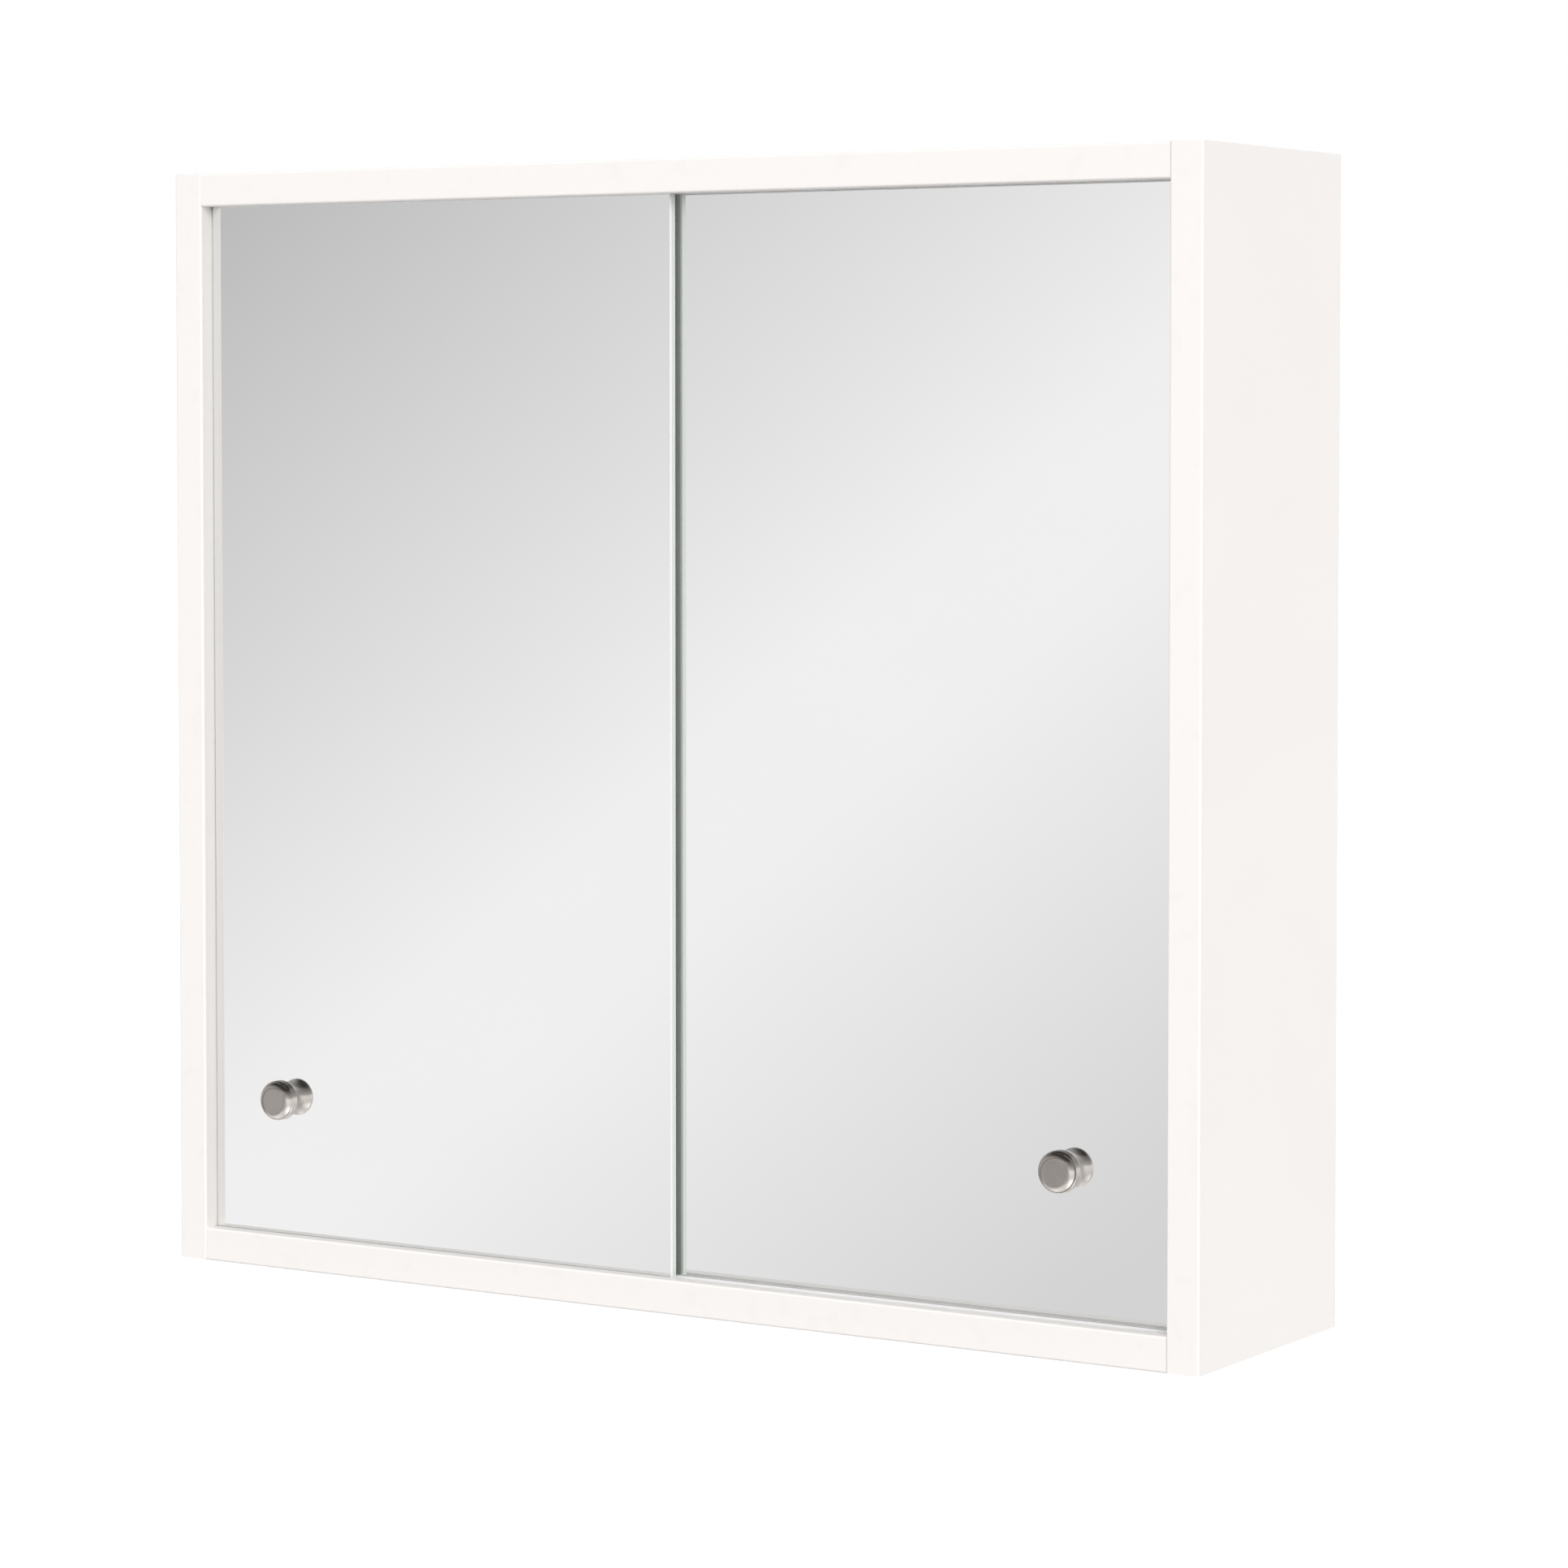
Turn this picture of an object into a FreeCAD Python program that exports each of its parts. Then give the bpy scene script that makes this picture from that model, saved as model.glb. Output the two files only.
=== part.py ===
import FreeCAD, Part
import os

import Sketcher
from FreeCAD import Placement, Rotation, Vector

# Bathroom mirror cabinet with two sliding mirror panes, in millimetres.
# X runs to the right seen from the front, Y from the front to the wall, Z up.
# The origin lies on the wall plane, midway between the two holes for the wall screws.

DRIVING_SIZES = (
    # Carcass
    ("cabinet_width", 530.0, "outside width"),
    ("cabinet_height", 502.0, "outside height"),
    ("cabinet_depth", 128.0, "wall to the front edge of the boards"),
    ("board", 15.0, "thickness of the sides, top and bottom"),
    ("edge_radius", 1.0, "rounding of the front edges of the boards"),
    # Back panel and hanging rail
    ("back_thickness", 3.0, "thickness of the back panel"),
    ("groove_depth", 7.0, "depth of the groove that holds the back panel"),
    ("groove_clearance", 0.2, "play between the back panel and each wall of its groove"),
    ("groove_slack", 1.0, "play between the back panel's edge and the groove's bottom"),
    ("rail_thickness", 15.0, "thickness of the hanging rail"),
    ("rail_height", 60.0, "height of the hanging rail"),
    ("wall_hole_spacing", 400.0, "distance between the wall screws"),
    ("wall_hole_diameter", 6.0, "hole for a wall screw"),
    ("wall_hole_drop", 30.0, "top of the rail to the wall screws"),
    # Mirror panes and their tracks
    ("glass", 4.0, "thickness of a mirror pane"),
    ("arris", 0.6, "ground edge of a mirror pane"),
    ("pane_overlap", 7.0, "overlap of the two panes at the middle"),
    ("pane_side_gap", 0.5, "closed pane to the side panel"),
    ("track_setback", 6.0, "front edge of the boards to the track"),
    ("track_lip", 1.0, "outer wall of the track"),
    ("track_divider", 1.2, "wall between the two channels"),
    ("track_web", 1.2, "bottom of a channel"),
    ("track_end_gap", 0.25, "track's end to the side panel"),
    ("track_fit", 0.1, "play between the track and its rebate"),
    ("channel_clearance", 0.5, "play between a pane and each wall of its channel"),
    ("top_channel_depth", 7.8, "depth of the channels in the top track"),
    ("bottom_channel_depth", 3.8, "depth of the channels in the bottom track"),
    ("top_grip", 3.6, "height of a pane inside the top track"),
    ("pane_floor_gap", 0.2, "pane to the bottom of its channel"),
    # Knobs and bumpers
    ("knob_inset", 48.5, "outer edge of a pane to its knob"),
    ("knob_level", 64.0, "upper face of the bottom panel to the knobs"),
    ("knob_head_diameter", 18.0, "head of a knob"),
    ("knob_head_thickness", 6.5, "head of a knob"),
    ("knob_waist_diameter", 15.4, "hollow between the foot and the head"),
    ("knob_foot_diameter", 16.6, "foot of a knob"),
    ("knob_foot_thickness", 1.2, "foot of a knob"),
    ("knob_length", 18.8, "foot to face of a knob"),
    ("knob_face_radius", 3.6, "rounding round the face"),
    ("knob_back_radius", 1.2, "rounding behind the head"),
    ("knob_foot_radius", 0.4, "rounding of the foot"),
    ("pad_margin", 0.5, "foot of a knob to the edge of its bonding pad"),
    ("pad_thickness", 0.8, "bonding pad"),
    ("bumper_clearance", 0.3, "bumper to the bottom and to the mouth of its channel"),
    ("bumper_gap", 0.2, "closed pane to its bumper"),
    ("bumper_seat", 1.6, "depth of a bumper's seat in the side panel"),
    # Shelves and their pins
    ("shelf_thickness", 12.0, "thickness of a shelf"),
    ("shelf_edge_radius", 1.0, "rounding of a shelf's front edges"),
    ("lower_shelf_level", 149.0, "upper face of the bottom panel to the lower shelf"),
    ("upper_shelf_level", 310.0, "upper face of the bottom panel to the upper shelf"),
    ("shelf_front_gap", 4.0, "rear pane to a shelf"),
    ("shelf_back_gap", 0.5, "shelf to the back panel"),
    ("shelf_side_gap", 1.5, "shelf to a side panel"),
    ("pin_diameter", 5.0, "shelf pin"),
    ("pin_reach", 9.0, "shelf pin's length inside the cabinet"),
    ("pin_depth", 8.5, "shelf pin's length inside the side panel"),
    ("pin_collar", 1.0, "thickness of the collar on a pin"),
    ("pin_collar_step", 1.2, "height of the collar above the pin"),
    ("pin_clearance", 0.1, "play round a pin"),
    ("pin_hole_slack", 1.0, "play behind a pin"),
    ("pin_inset", 20.0, "shelf's front or back edge to a pin"),
    ("pin_pitch", 32.0, "height between the pin holes"),
    # Cam locks and dowels
    ("cam_diameter", 15.0, "cam disc"),
    ("cam_depth", 12.5, "depth of a cam's hole"),
    ("cam_sink", 0.5, "cam disc below the face of its board"),
    ("cam_reach", 34.0, "side panel to the axis of a cam"),
    ("cam_front_inset", 40.0, "front edge of the boards to the front cam"),
    ("cam_back_inset", 14.0, "groove of the back panel to the rear cam"),
    ("cam_recess_length", 8.0, "cross recess in a cam"),
    ("cam_recess_width", 1.8, "cross recess in a cam"),
    ("cam_recess_depth", 1.5, "cross recess in a cam"),
    ("bolt_diameter", 7.0, "shank and head of a cam bolt"),
    ("bolt_neck_diameter", 4.5, "neck of a cam bolt"),
    ("bolt_neck_length", 3.5, "neck of a cam bolt"),
    ("bolt_head_length", 3.0, "head of a cam bolt"),
    ("bolt_thread_diameter", 5.0, "threaded end of a cam bolt"),
    ("bolt_clearance", 0.4, "play round a cam bolt"),
    ("dowel_diameter", 8.0, "wooden dowel"),
    ("dowel_length", 30.0, "wooden dowel"),
    ("dowel_chamfer", 1.0, "end of a wooden dowel"),
    ("rail_dowel_inset", 15.0, "edge of the rail to a dowel"),
    ("drill_wall", 3.0, "wood left behind a blind hole in a side panel"),
    ("drill_slack", 1.0, "play beyond the end of a dowel or bolt"),
    ("drill_clearance", 0.1, "play round a dowel, a bolt's thread or a cam"),
)

PIN_HOLES = 3
TOLERANCE = 1e-6

# Sketch references: the origin point and the two axes
ORIGIN = -1
HORIZONTAL = -1
VERTICAL = -2
START = 1
END = 2
CENTRE = 3


class Size:
    """A length with its value and the expression that keeps it tied to the sheet."""

    def __init__(self, value, text):
        self.value = float(value)
        self.text = text

    def __add__(self, other):
        return Size(self.value + other.value, f"({self.text} + {other.text})")

    def __sub__(self, other):
        return Size(self.value - other.value, f"({self.text} - {other.text})")

    def __neg__(self):
        return Size(-self.value, f"(-{self.text})")

    def __mul__(self, factor):
        return Size(self.value * factor, f"({self.text} * {factor})")

    def __truediv__(self, divisor):
        return Size(self.value / divisor, f"({self.text} / {divisor})")


class Sizes:
    """The driving sizes, each under its own name."""

    def __init__(self, sheet, rows):
        for row, (name, value, note) in enumerate(rows, start=1):
            sheet.set(f"A{row}", note)
            sheet.set(f"B{row}", str(value))
            sheet.setAlias(f"B{row}", name)
            setattr(self, name, Size(value, f"{sheet.Name}.{name}"))


doc = FreeCAD.newDocument("mirror_cabinet")
sheet = doc.addObject("Spreadsheet::Sheet", "sizes")
size = Sizes(sheet, DRIVING_SIZES)
doc.recompute()

ZERO = Size(0, "0")

# Derived sizes. Depths are measured from the front edge of the boards.
half_width = size.cabinet_width / 2
inner_width = size.cabinet_width - size.board * 2
half_inner = inner_width / 2
inner_height = size.cabinet_height - size.board * 2
top_z = size.wall_hole_drop + size.board
bottom_z = top_z - size.cabinet_height
floor_z = bottom_z + size.board
ceiling_z = top_z - size.board
front_y = -size.cabinet_depth

groove_width = size.back_thickness + size.groove_clearance * 2
groove_back = size.cabinet_depth - size.rail_thickness
groove_front = groove_back - groove_width
back_front = groove_front + size.groove_clearance
back_margin = size.groove_depth - size.groove_slack

channel_width = size.glass + size.channel_clearance * 2
track_width = size.track_lip * 2 + channel_width * 2 + size.track_divider
rebate_front = size.track_setback - size.track_fit
rebate_back = size.track_setback + track_width + size.track_fit
front_pane_depth = size.track_setback + size.track_lip + size.channel_clearance
rear_pane_depth = front_pane_depth + channel_width + size.track_divider
pane_width = half_inner - size.pane_side_gap + size.pane_overlap / 2
pane_bottom = size.pane_floor_gap - size.bottom_channel_depth
pane_height = inner_height - pane_bottom + size.top_grip

shelf_front = rear_pane_depth + size.glass + size.shelf_front_gap
shelf_back = back_front - size.shelf_back_gap
shelf_width = inner_width - size.shelf_side_gap * 2
pin_front = shelf_front + size.pin_inset
pin_back = shelf_back - size.pin_inset
pin_radius = size.pin_diameter / 2

cam_front = size.cam_front_inset
cam_back = groove_front - size.cam_back_inset
dowel_depth = (cam_front + cam_back) / 2
board_middle = size.board / 2
side_drill = size.board - size.drill_wall
side_seat = side_drill - size.drill_slack
dowel_reach = size.dowel_length - side_seat
dowel_drill = dowel_reach + size.drill_slack
dowel_bore = size.dowel_diameter + size.drill_clearance * 2
thread_bore = size.bolt_thread_diameter + size.drill_clearance * 2
bolt_bore = size.bolt_diameter + size.bolt_clearance * 2
cam_bore = size.cam_diameter + size.drill_clearance * 2
pin_bore = size.pin_diameter + size.pin_clearance * 2
bumper_diameter = size.bottom_channel_depth - size.bumper_clearance * 2
bumper_bore = bumper_diameter + size.drill_clearance * 2
bumper_drop = size.bottom_channel_depth / 2
bumper_spread = bumper_drop + inner_height + size.top_grip / 2
rail_middle = size.cabinet_depth - size.rail_thickness / 2
upper_rail_dowel = size.rail_dowel_inset
lower_rail_dowel = size.rail_height - size.rail_dowel_inset


def bind(item, path, length):
    """Ties one property of an object to the sheet."""
    item.setExpression(path, length.text)


def new_body(label, x=ZERO, y=ZERO, z=ZERO, rotation=Rotation()):
    """An empty body at a bound place."""
    body = doc.addObject("PartDesign::Body", label)
    body.Label = label
    body.AllowCompound = True
    body.Placement = Placement(Vector(x.value, y.value, z.value), rotation)
    for axis, length in (("x", x), ("y", y), ("z", z)):
        bind(body, f"Placement.Base.{axis}", length)
    return body


def origin_feature(body, role):
    return next(feature for feature in body.Origin.OriginFeatures if feature.Role == role)


def new_sketch(body, plane, x=ZERO, y=ZERO, away=ZERO):
    """A sketch on one of the body's planes, moved by x and y in that plane and lifted off it by away."""
    sketch = body.newObject("Sketcher::SketchObject", "sketch")
    sketch.AttachmentSupport = [(origin_feature(body, plane), "")]
    sketch.MapMode = "FlatFace"
    for axis, length in (("x", x), ("y", y), ("z", away)):
        bind(sketch, f"AttachmentOffset.Base.{axis}", length)
    return sketch


def name_constraint(sketch, constraint, name, length):
    index = sketch.addConstraint(constraint)
    sketch.renameConstraint(index, name)
    bind(sketch, f"Constraints.{name}", length)


def fix_point(sketch, geometry, point, x, y):
    """Holds a sketch point on the axes, or at bound distances from them."""
    for kind, axis, length in (("DistanceX", VERTICAL, x), ("DistanceY", HORIZONTAL, y)):
        if length is ZERO:
            sketch.addConstraint(Sketcher.Constraint("PointOnObject", geometry, point, axis))
        else:
            distance = Sketcher.Constraint(kind, ORIGIN, START, geometry, point, length.value)
            name_constraint(sketch, distance, f"{kind}_{geometry}", length)


def draw_outline(sketch, corners, hollow=None):
    """A closed outline through bound corners; a hollow bends the side after one of them through a point."""
    places = [Vector(x.value, y.value, 0) for x, y in corners]
    count = len(corners)
    starts = []
    ends = []
    for index, place in enumerate(places):
        following = places[(index + 1) % count]
        side = Part.LineSegment(place, following)
        if hollow and corners[index] == hollow[0]:
            x, y = hollow[1]
            side = Part.Arc(place, Vector(x.value, y.value, 0), following)
        sketch.addGeometry(side, False)
        forward = sketch.getPoint(index, START).isEqual(place, TOLERANCE)
        starts.append(START if forward else END)
        ends.append(END if forward else START)
    for index in range(count):
        following = (index + 1) % count
        joint = Sketcher.Constraint("Coincident", index, ends[index], following, starts[following])
        sketch.addConstraint(joint)
    for index, (x, y) in enumerate(corners):
        fix_point(sketch, index, starts[index], x, y)
    if hollow:
        corner, (x, y) = hollow
        point = sketch.addGeometry(Part.Point(Vector(x.value, y.value, 0)), True)
        fix_point(sketch, point, START, x, y)
        sketch.addConstraint(Sketcher.Constraint("PointOnObject", point, START, corners.index(corner)))


def draw_circles(sketch, centres, diameter):
    """Circles of one diameter round bound centres."""
    for index, (x, y) in enumerate(centres):
        centre = Vector(x.value, y.value, 0)
        sketch.addGeometry(Part.Circle(centre, Vector(0, 0, 1), diameter.value / 2), False)
        fix_point(sketch, index, CENTRE, x, y)
        width = Sketcher.Constraint("Diameter", index, diameter.value)
        name_constraint(sketch, width, f"Diameter_{index}", diameter)


def rectangle(left, low, right, high):
    return ((left, low), (right, low), (right, high), (left, high))


def add_pad(body, sketch, length, side="One side"):
    feature = body.newObject("PartDesign::Pad", "pad")
    feature.Profile = sketch
    feature.SideType = side
    bind(feature, "Length", length)
    doc.recompute()
    return feature


def add_pocket(body, sketch, depth):
    """Cuts a sketch into the body, against the sketch's normal."""
    before = body.Shape.Volume
    feature = body.newObject("PartDesign::Pocket", "pocket")
    feature.Profile = sketch
    bind(feature, "Length", depth)
    doc.recompute()
    if feature.Shape.Volume > before - TOLERANCE:
        raise RuntimeError(f"a pocket of {body.Label} cuts nothing")
    return feature


def add_turning(body, sketch):
    """Turns a sketch round its own horizontal axis."""
    feature = body.newObject("PartDesign::Revolution", "turning")
    feature.Profile = sketch
    feature.ReferenceAxis = (sketch, ["H_Axis"])
    feature.Angle = 360
    doc.recompute()
    return feature


def drill(body, plane, away, centres, diameter, depth):
    """Blind holes from a face that lies off one of the body's planes."""
    sketch = new_sketch(body, plane, away=away)
    draw_circles(sketch, centres, diameter)
    return add_pocket(body, sketch, depth)


def round_edges(body, edges, radius):
    feature = body.newObject("PartDesign::Fillet", "rounding")
    feature.Base = edges
    bind(feature, "Radius", radius)
    doc.recompute()


def straight_edges(body, **places):
    """The body's edges whose ends all lie at the given places, such as y=ZERO."""
    tip = body.Tip
    names = []
    for number, edge in enumerate(tip.Shape.Edges, start=1):
        ends = [vertex.Point for vertex in edge.Vertexes]
        offsets = [getattr(end, axis) - place.value for end in ends for axis, place in places.items()]
        if max(map(abs, offsets)) < TOLERANCE:
            names.append(f"Edge{number}")
    return tip, names


def ring_edges(body, radius, level):
    """The body's round edges of one radius at one level along its X axis."""
    tip = body.Tip
    names = []
    for number, edge in enumerate(tip.Shape.Edges, start=1):
        curve = edge.Curve
        if isinstance(curve, Part.Circle) and abs(curve.Radius - radius.value) < TOLERANCE:
            if abs(curve.Center.x - level.value) < TOLERANCE:
                names.append(f"Edge{number}")
    return tip, names


def row(body, axis, length, count):
    """A pattern step: copies evenly spread over a length."""
    step = doc.addObject("PartDesign::LinearPattern", "row")
    step.Direction = (origin_feature(body, axis), [""])
    step.Occurrences = count
    bind(step, "Length", length)
    return step


def mirror(body, plane):
    """A pattern step: a mirror image across one of the body's planes."""
    step = doc.addObject("PartDesign::Mirrored", "mirror")
    step.MirrorPlane = (origin_feature(body, plane), [""])
    return step


def repeat(body, features, *steps):
    """Repeats features of a body through pattern steps, one after the other."""
    pattern = body.newObject("PartDesign::MultiTransform", "repeat")
    pattern.Originals = list(features)
    pattern.Transformations = list(steps)
    body.Tip = pattern
    doc.recompute()


def make_side_panel():
    """The left side: outer face at x = 0, front edge at y = 0, with the back panel's groove."""
    body = new_body("left_side_panel", -half_width, front_y, bottom_z)
    groove_floor = size.board - size.groove_depth
    profile = new_sketch(body, "XY_Plane")
    draw_outline(profile, (
        (ZERO, ZERO),
        (size.board, ZERO),
        (size.board, groove_front),
        (groove_floor, groove_front),
        (groove_floor, groove_back),
        (size.board, groove_back),
        (size.board, size.cabinet_depth),
        (ZERO, size.cabinet_depth),
    ))
    add_pad(body, profile, size.cabinet_height)
    tip, outer = straight_edges(body, x=ZERO, y=ZERO)
    tip, inner = straight_edges(body, x=size.board, y=ZERO)
    round_edges(body, (tip, outer + inner), size.edge_radius)

    joint_levels = (board_middle, size.cabinet_height - board_middle)
    bolts = [(depth, level) for depth in (cam_front, cam_back) for level in joint_levels]
    drill(body, "YZ_Plane", size.board, bolts, thread_bore, side_drill)
    rail_top = size.cabinet_height - size.board
    dowels = [(dowel_depth, level) for level in joint_levels]
    dowels += [(rail_middle, rail_top - drop) for drop in (upper_rail_dowel, lower_rail_dowel)]
    drill(body, "YZ_Plane", size.board, dowels, dowel_bore, side_drill)
    lower_seat = size.board - bumper_drop
    channels = [depth + size.glass / 2 for depth in (front_pane_depth, rear_pane_depth)]
    seats = [(depth, level) for depth in channels for level in (lower_seat, lower_seat + bumper_spread)]
    drill(body, "YZ_Plane", size.board, seats, bumper_bore, size.bumper_seat)

    for level in (size.lower_shelf_level, size.upper_shelf_level):
        lowest = size.board + level - pin_radius - size.pin_pitch
        pins = [(depth, lowest) for depth in (pin_front, pin_back)]
        holes = drill(body, "YZ_Plane", size.board, pins, pin_bore, size.pin_depth + size.pin_hole_slack)
        repeat(body, [holes], row(body, "Z_Axis", size.pin_pitch * (PIN_HOLES - 1), PIN_HOLES))
    return body


def make_mirror_image(source, label):
    """The other hand of a piece, across the middle of the cabinet."""
    image = doc.addObject("Part::Mirroring", label)
    image.Label = label
    image.Source = source
    image.Normal = Vector(1, 0, 0)
    doc.recompute()
    return image


def make_level_panel(label, z, rotation, channel_depth):
    """The top or bottom: inner face at z = 0, front edge at y = 0, with a rebate for the track."""
    body = new_body(label, y=front_y, z=z, rotation=rotation)
    rebate_depth = channel_depth + size.track_web + size.track_fit
    profile = new_sketch(body, "YZ_Plane")
    draw_outline(profile, (
        (ZERO, ZERO),
        (rebate_front, ZERO),
        (rebate_front, rebate_depth),
        (rebate_back, rebate_depth),
        (rebate_back, ZERO),
        (groove_front, ZERO),
        (groove_front, size.groove_depth),
        (groove_back, size.groove_depth),
        (groove_back, ZERO),
        (size.cabinet_depth, ZERO),
        (size.cabinet_depth, size.board),
        (ZERO, size.board),
    ))
    add_pad(body, profile, inner_width, "Symmetric")
    tip, inner = straight_edges(body, y=ZERO, z=ZERO)
    tip, outer = straight_edges(body, y=ZERO, z=size.board)
    round_edges(body, (tip, inner + outer), size.edge_radius)

    cam_places = [(half_inner - size.cam_reach, depth) for depth in (cam_front, cam_back)]
    cams = drill(body, "XY_Plane", size.board, cam_places, cam_bore, size.cam_depth)
    bolt_places = [(depth, board_middle) for depth in (cam_front, cam_back)]
    bolts = drill(body, "YZ_Plane", half_inner, bolt_places, bolt_bore, size.cam_reach)
    dowels = drill(body, "YZ_Plane", half_inner, [(dowel_depth, board_middle)], dowel_bore, dowel_drill)
    repeat(body, [cams, bolts, dowels], mirror(body, "YZ_Plane"))
    return body


def make_track(label, z, rotation, channel_depth):
    """A twin-channel track: mouths of the channels at z = 0, flush with the board's inner face."""
    body = new_body(label, y=front_y + size.track_setback, z=z, rotation=rotation)
    height = channel_depth + size.track_web
    first_wall = size.track_lip
    first_end = first_wall + channel_width
    second_wall = first_end + size.track_divider
    second_end = second_wall + channel_width
    profile = new_sketch(body, "YZ_Plane")
    draw_outline(profile, (
        (ZERO, ZERO),
        (first_wall, ZERO),
        (first_wall, channel_depth),
        (first_end, channel_depth),
        (first_end, ZERO),
        (second_wall, ZERO),
        (second_wall, channel_depth),
        (second_end, channel_depth),
        (second_end, ZERO),
        (track_width, ZERO),
        (track_width, height),
        (ZERO, height),
    ))
    add_pad(body, profile, inner_width - size.track_end_gap * 2, "Symmetric")
    return body


def make_back_panel():
    """The thin back, in its grooves all round, with clear holes for the wall screws."""
    body = new_body("back_panel", y=front_y + back_front, z=floor_z - back_margin)
    profile = new_sketch(body, "YZ_Plane")
    height = inner_height + back_margin * 2
    draw_outline(profile, rectangle(ZERO, ZERO, size.back_thickness, height))
    add_pad(body, profile, inner_width + back_margin * 2, "Symmetric")
    level = back_margin + inner_height - size.wall_hole_drop
    place = (size.wall_hole_spacing / 2, level)
    screw = drill(body, "XZ_Plane", ZERO, [place], size.wall_hole_diameter, size.back_thickness)
    repeat(body, [screw], mirror(body, "YZ_Plane"))
    return body


def make_hanging_rail():
    """The rail under the top panel, flush with the wall, that carries the cabinet on two screws."""
    body = new_body("hanging_rail", y=-size.rail_thickness, z=ceiling_z - size.rail_height)
    profile = new_sketch(body, "YZ_Plane")
    draw_outline(profile, rectangle(ZERO, ZERO, size.rail_thickness, size.rail_height))
    add_pad(body, profile, inner_width, "Symmetric")
    level = size.rail_height - size.wall_hole_drop
    place = (size.wall_hole_spacing / 2, level)
    screw = drill(body, "XZ_Plane", ZERO, [place], size.wall_hole_diameter, size.rail_thickness)
    dowel_levels = [size.rail_height - drop for drop in (upper_rail_dowel, lower_rail_dowel)]
    dowel_places = [(size.rail_thickness / 2, dowel_level) for dowel_level in dowel_levels]
    dowels = drill(body, "YZ_Plane", half_inner, dowel_places, dowel_bore, dowel_drill)
    repeat(body, [screw, dowels], mirror(body, "YZ_Plane"))
    return body


def make_shelf(label, level):
    """A loose shelf with rounded front edges."""
    body = new_body(label, y=front_y + shelf_front, z=floor_z + level)
    profile = new_sketch(body, "YZ_Plane")
    draw_outline(profile, rectangle(ZERO, ZERO, shelf_back - shelf_front, size.shelf_thickness))
    add_pad(body, profile, shelf_width, "Symmetric")
    tip, low = straight_edges(body, y=ZERO, z=ZERO)
    tip, high = straight_edges(body, y=ZERO, z=size.shelf_thickness)
    round_edges(body, (tip, low + high), size.shelf_edge_radius)
    return body


def make_shelf_pins(label, level):
    """Four turned pins under one shelf: a shank in the side panel, a collar and a peg for the shelf."""
    body = new_body(label, y=front_y, z=floor_z + level - pin_radius)
    collar_radius = pin_radius + size.pin_collar_step
    shank_end = half_inner + size.pin_depth
    collar_end = half_inner - size.pin_collar
    peg_end = half_inner - size.pin_reach
    profile = new_sketch(body, "XY_Plane", y=pin_front)
    draw_outline(profile, (
        (peg_end, ZERO),
        (shank_end, ZERO),
        (shank_end, pin_radius),
        (half_inner, pin_radius),
        (half_inner, collar_radius),
        (collar_end, collar_radius),
        (collar_end, pin_radius),
        (peg_end, pin_radius),
    ))
    pin = add_turning(body, profile)
    repeat(body, [pin], row(body, "Y_Axis", pin_back - pin_front, 2), mirror(body, "YZ_Plane"))
    return body


def make_cam_locks():
    """Eight cam discs in the outer faces of the top and bottom, each with a bolt's bore and a cross."""
    body = new_body("cam_locks", y=front_y, z=bottom_z + size.cabinet_height / 2)
    axis_x = half_inner - size.cam_reach
    face = size.cabinet_height / 2 - size.cam_sink
    disc_height = size.cam_depth - size.cam_sink
    disc = new_sketch(body, "XY_Plane", x=axis_x, y=cam_front, away=face - disc_height)
    draw_circles(disc, [(ZERO, ZERO)], size.cam_diameter)
    pad = add_pad(body, disc, disc_height)

    bolt_level = size.cabinet_height / 2 - board_middle
    bore = new_sketch(body, "YZ_Plane", x=cam_front, y=bolt_level, away=axis_x + size.cam_diameter / 2)
    draw_circles(bore, [(ZERO, ZERO)], bolt_bore)
    grip = add_pocket(body, bore, size.cam_diameter / 2 + size.bolt_head_length / 2 + size.bolt_clearance)

    long = size.cam_recess_length / 2
    short = size.cam_recess_width / 2
    recess = new_sketch(body, "XY_Plane", x=axis_x, y=cam_front, away=face)
    draw_outline(recess, (
        (long, -short),
        (long, short),
        (short, short),
        (short, long),
        (-short, long),
        (-short, short),
        (-long, short),
        (-long, -short),
        (-short, -short),
        (-short, -long),
        (short, -long),
        (short, -short),
    ))
    cross = add_pocket(body, recess, size.cam_recess_depth)
    rear = row(body, "Y_Axis", cam_back - cam_front, 2)
    repeat(body, [pad, grip, cross], rear, mirror(body, "YZ_Plane"), mirror(body, "XY_Plane"))
    return body


def make_cam_bolts():
    """Eight turned bolts: thread in the side panel, shank in the board's end, neck and head in the cam."""
    body = new_body("cam_bolts", y=front_y, z=bottom_z + size.cabinet_height / 2)
    radius = size.bolt_diameter / 2
    neck_radius = size.bolt_neck_diameter / 2
    thread_radius = size.bolt_thread_diameter / 2
    head_end = half_inner - size.cam_reach - size.bolt_head_length / 2
    neck_start = head_end + size.bolt_head_length
    neck_end = neck_start + size.bolt_neck_length
    thread_end = half_inner + side_seat
    bolt_level = size.cabinet_height / 2 - board_middle
    profile = new_sketch(body, "XY_Plane", y=cam_front, away=bolt_level)
    draw_outline(profile, (
        (head_end, ZERO),
        (thread_end, ZERO),
        (thread_end, thread_radius),
        (half_inner, thread_radius),
        (half_inner, radius),
        (neck_end, radius),
        (neck_end, neck_radius),
        (neck_start, neck_radius),
        (neck_start, radius),
        (head_end, radius),
    ))
    bolt = add_turning(body, profile)
    rear = row(body, "Y_Axis", cam_back - cam_front, 2)
    repeat(body, [bolt], rear, mirror(body, "YZ_Plane"), mirror(body, "XY_Plane"))
    return body


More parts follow.
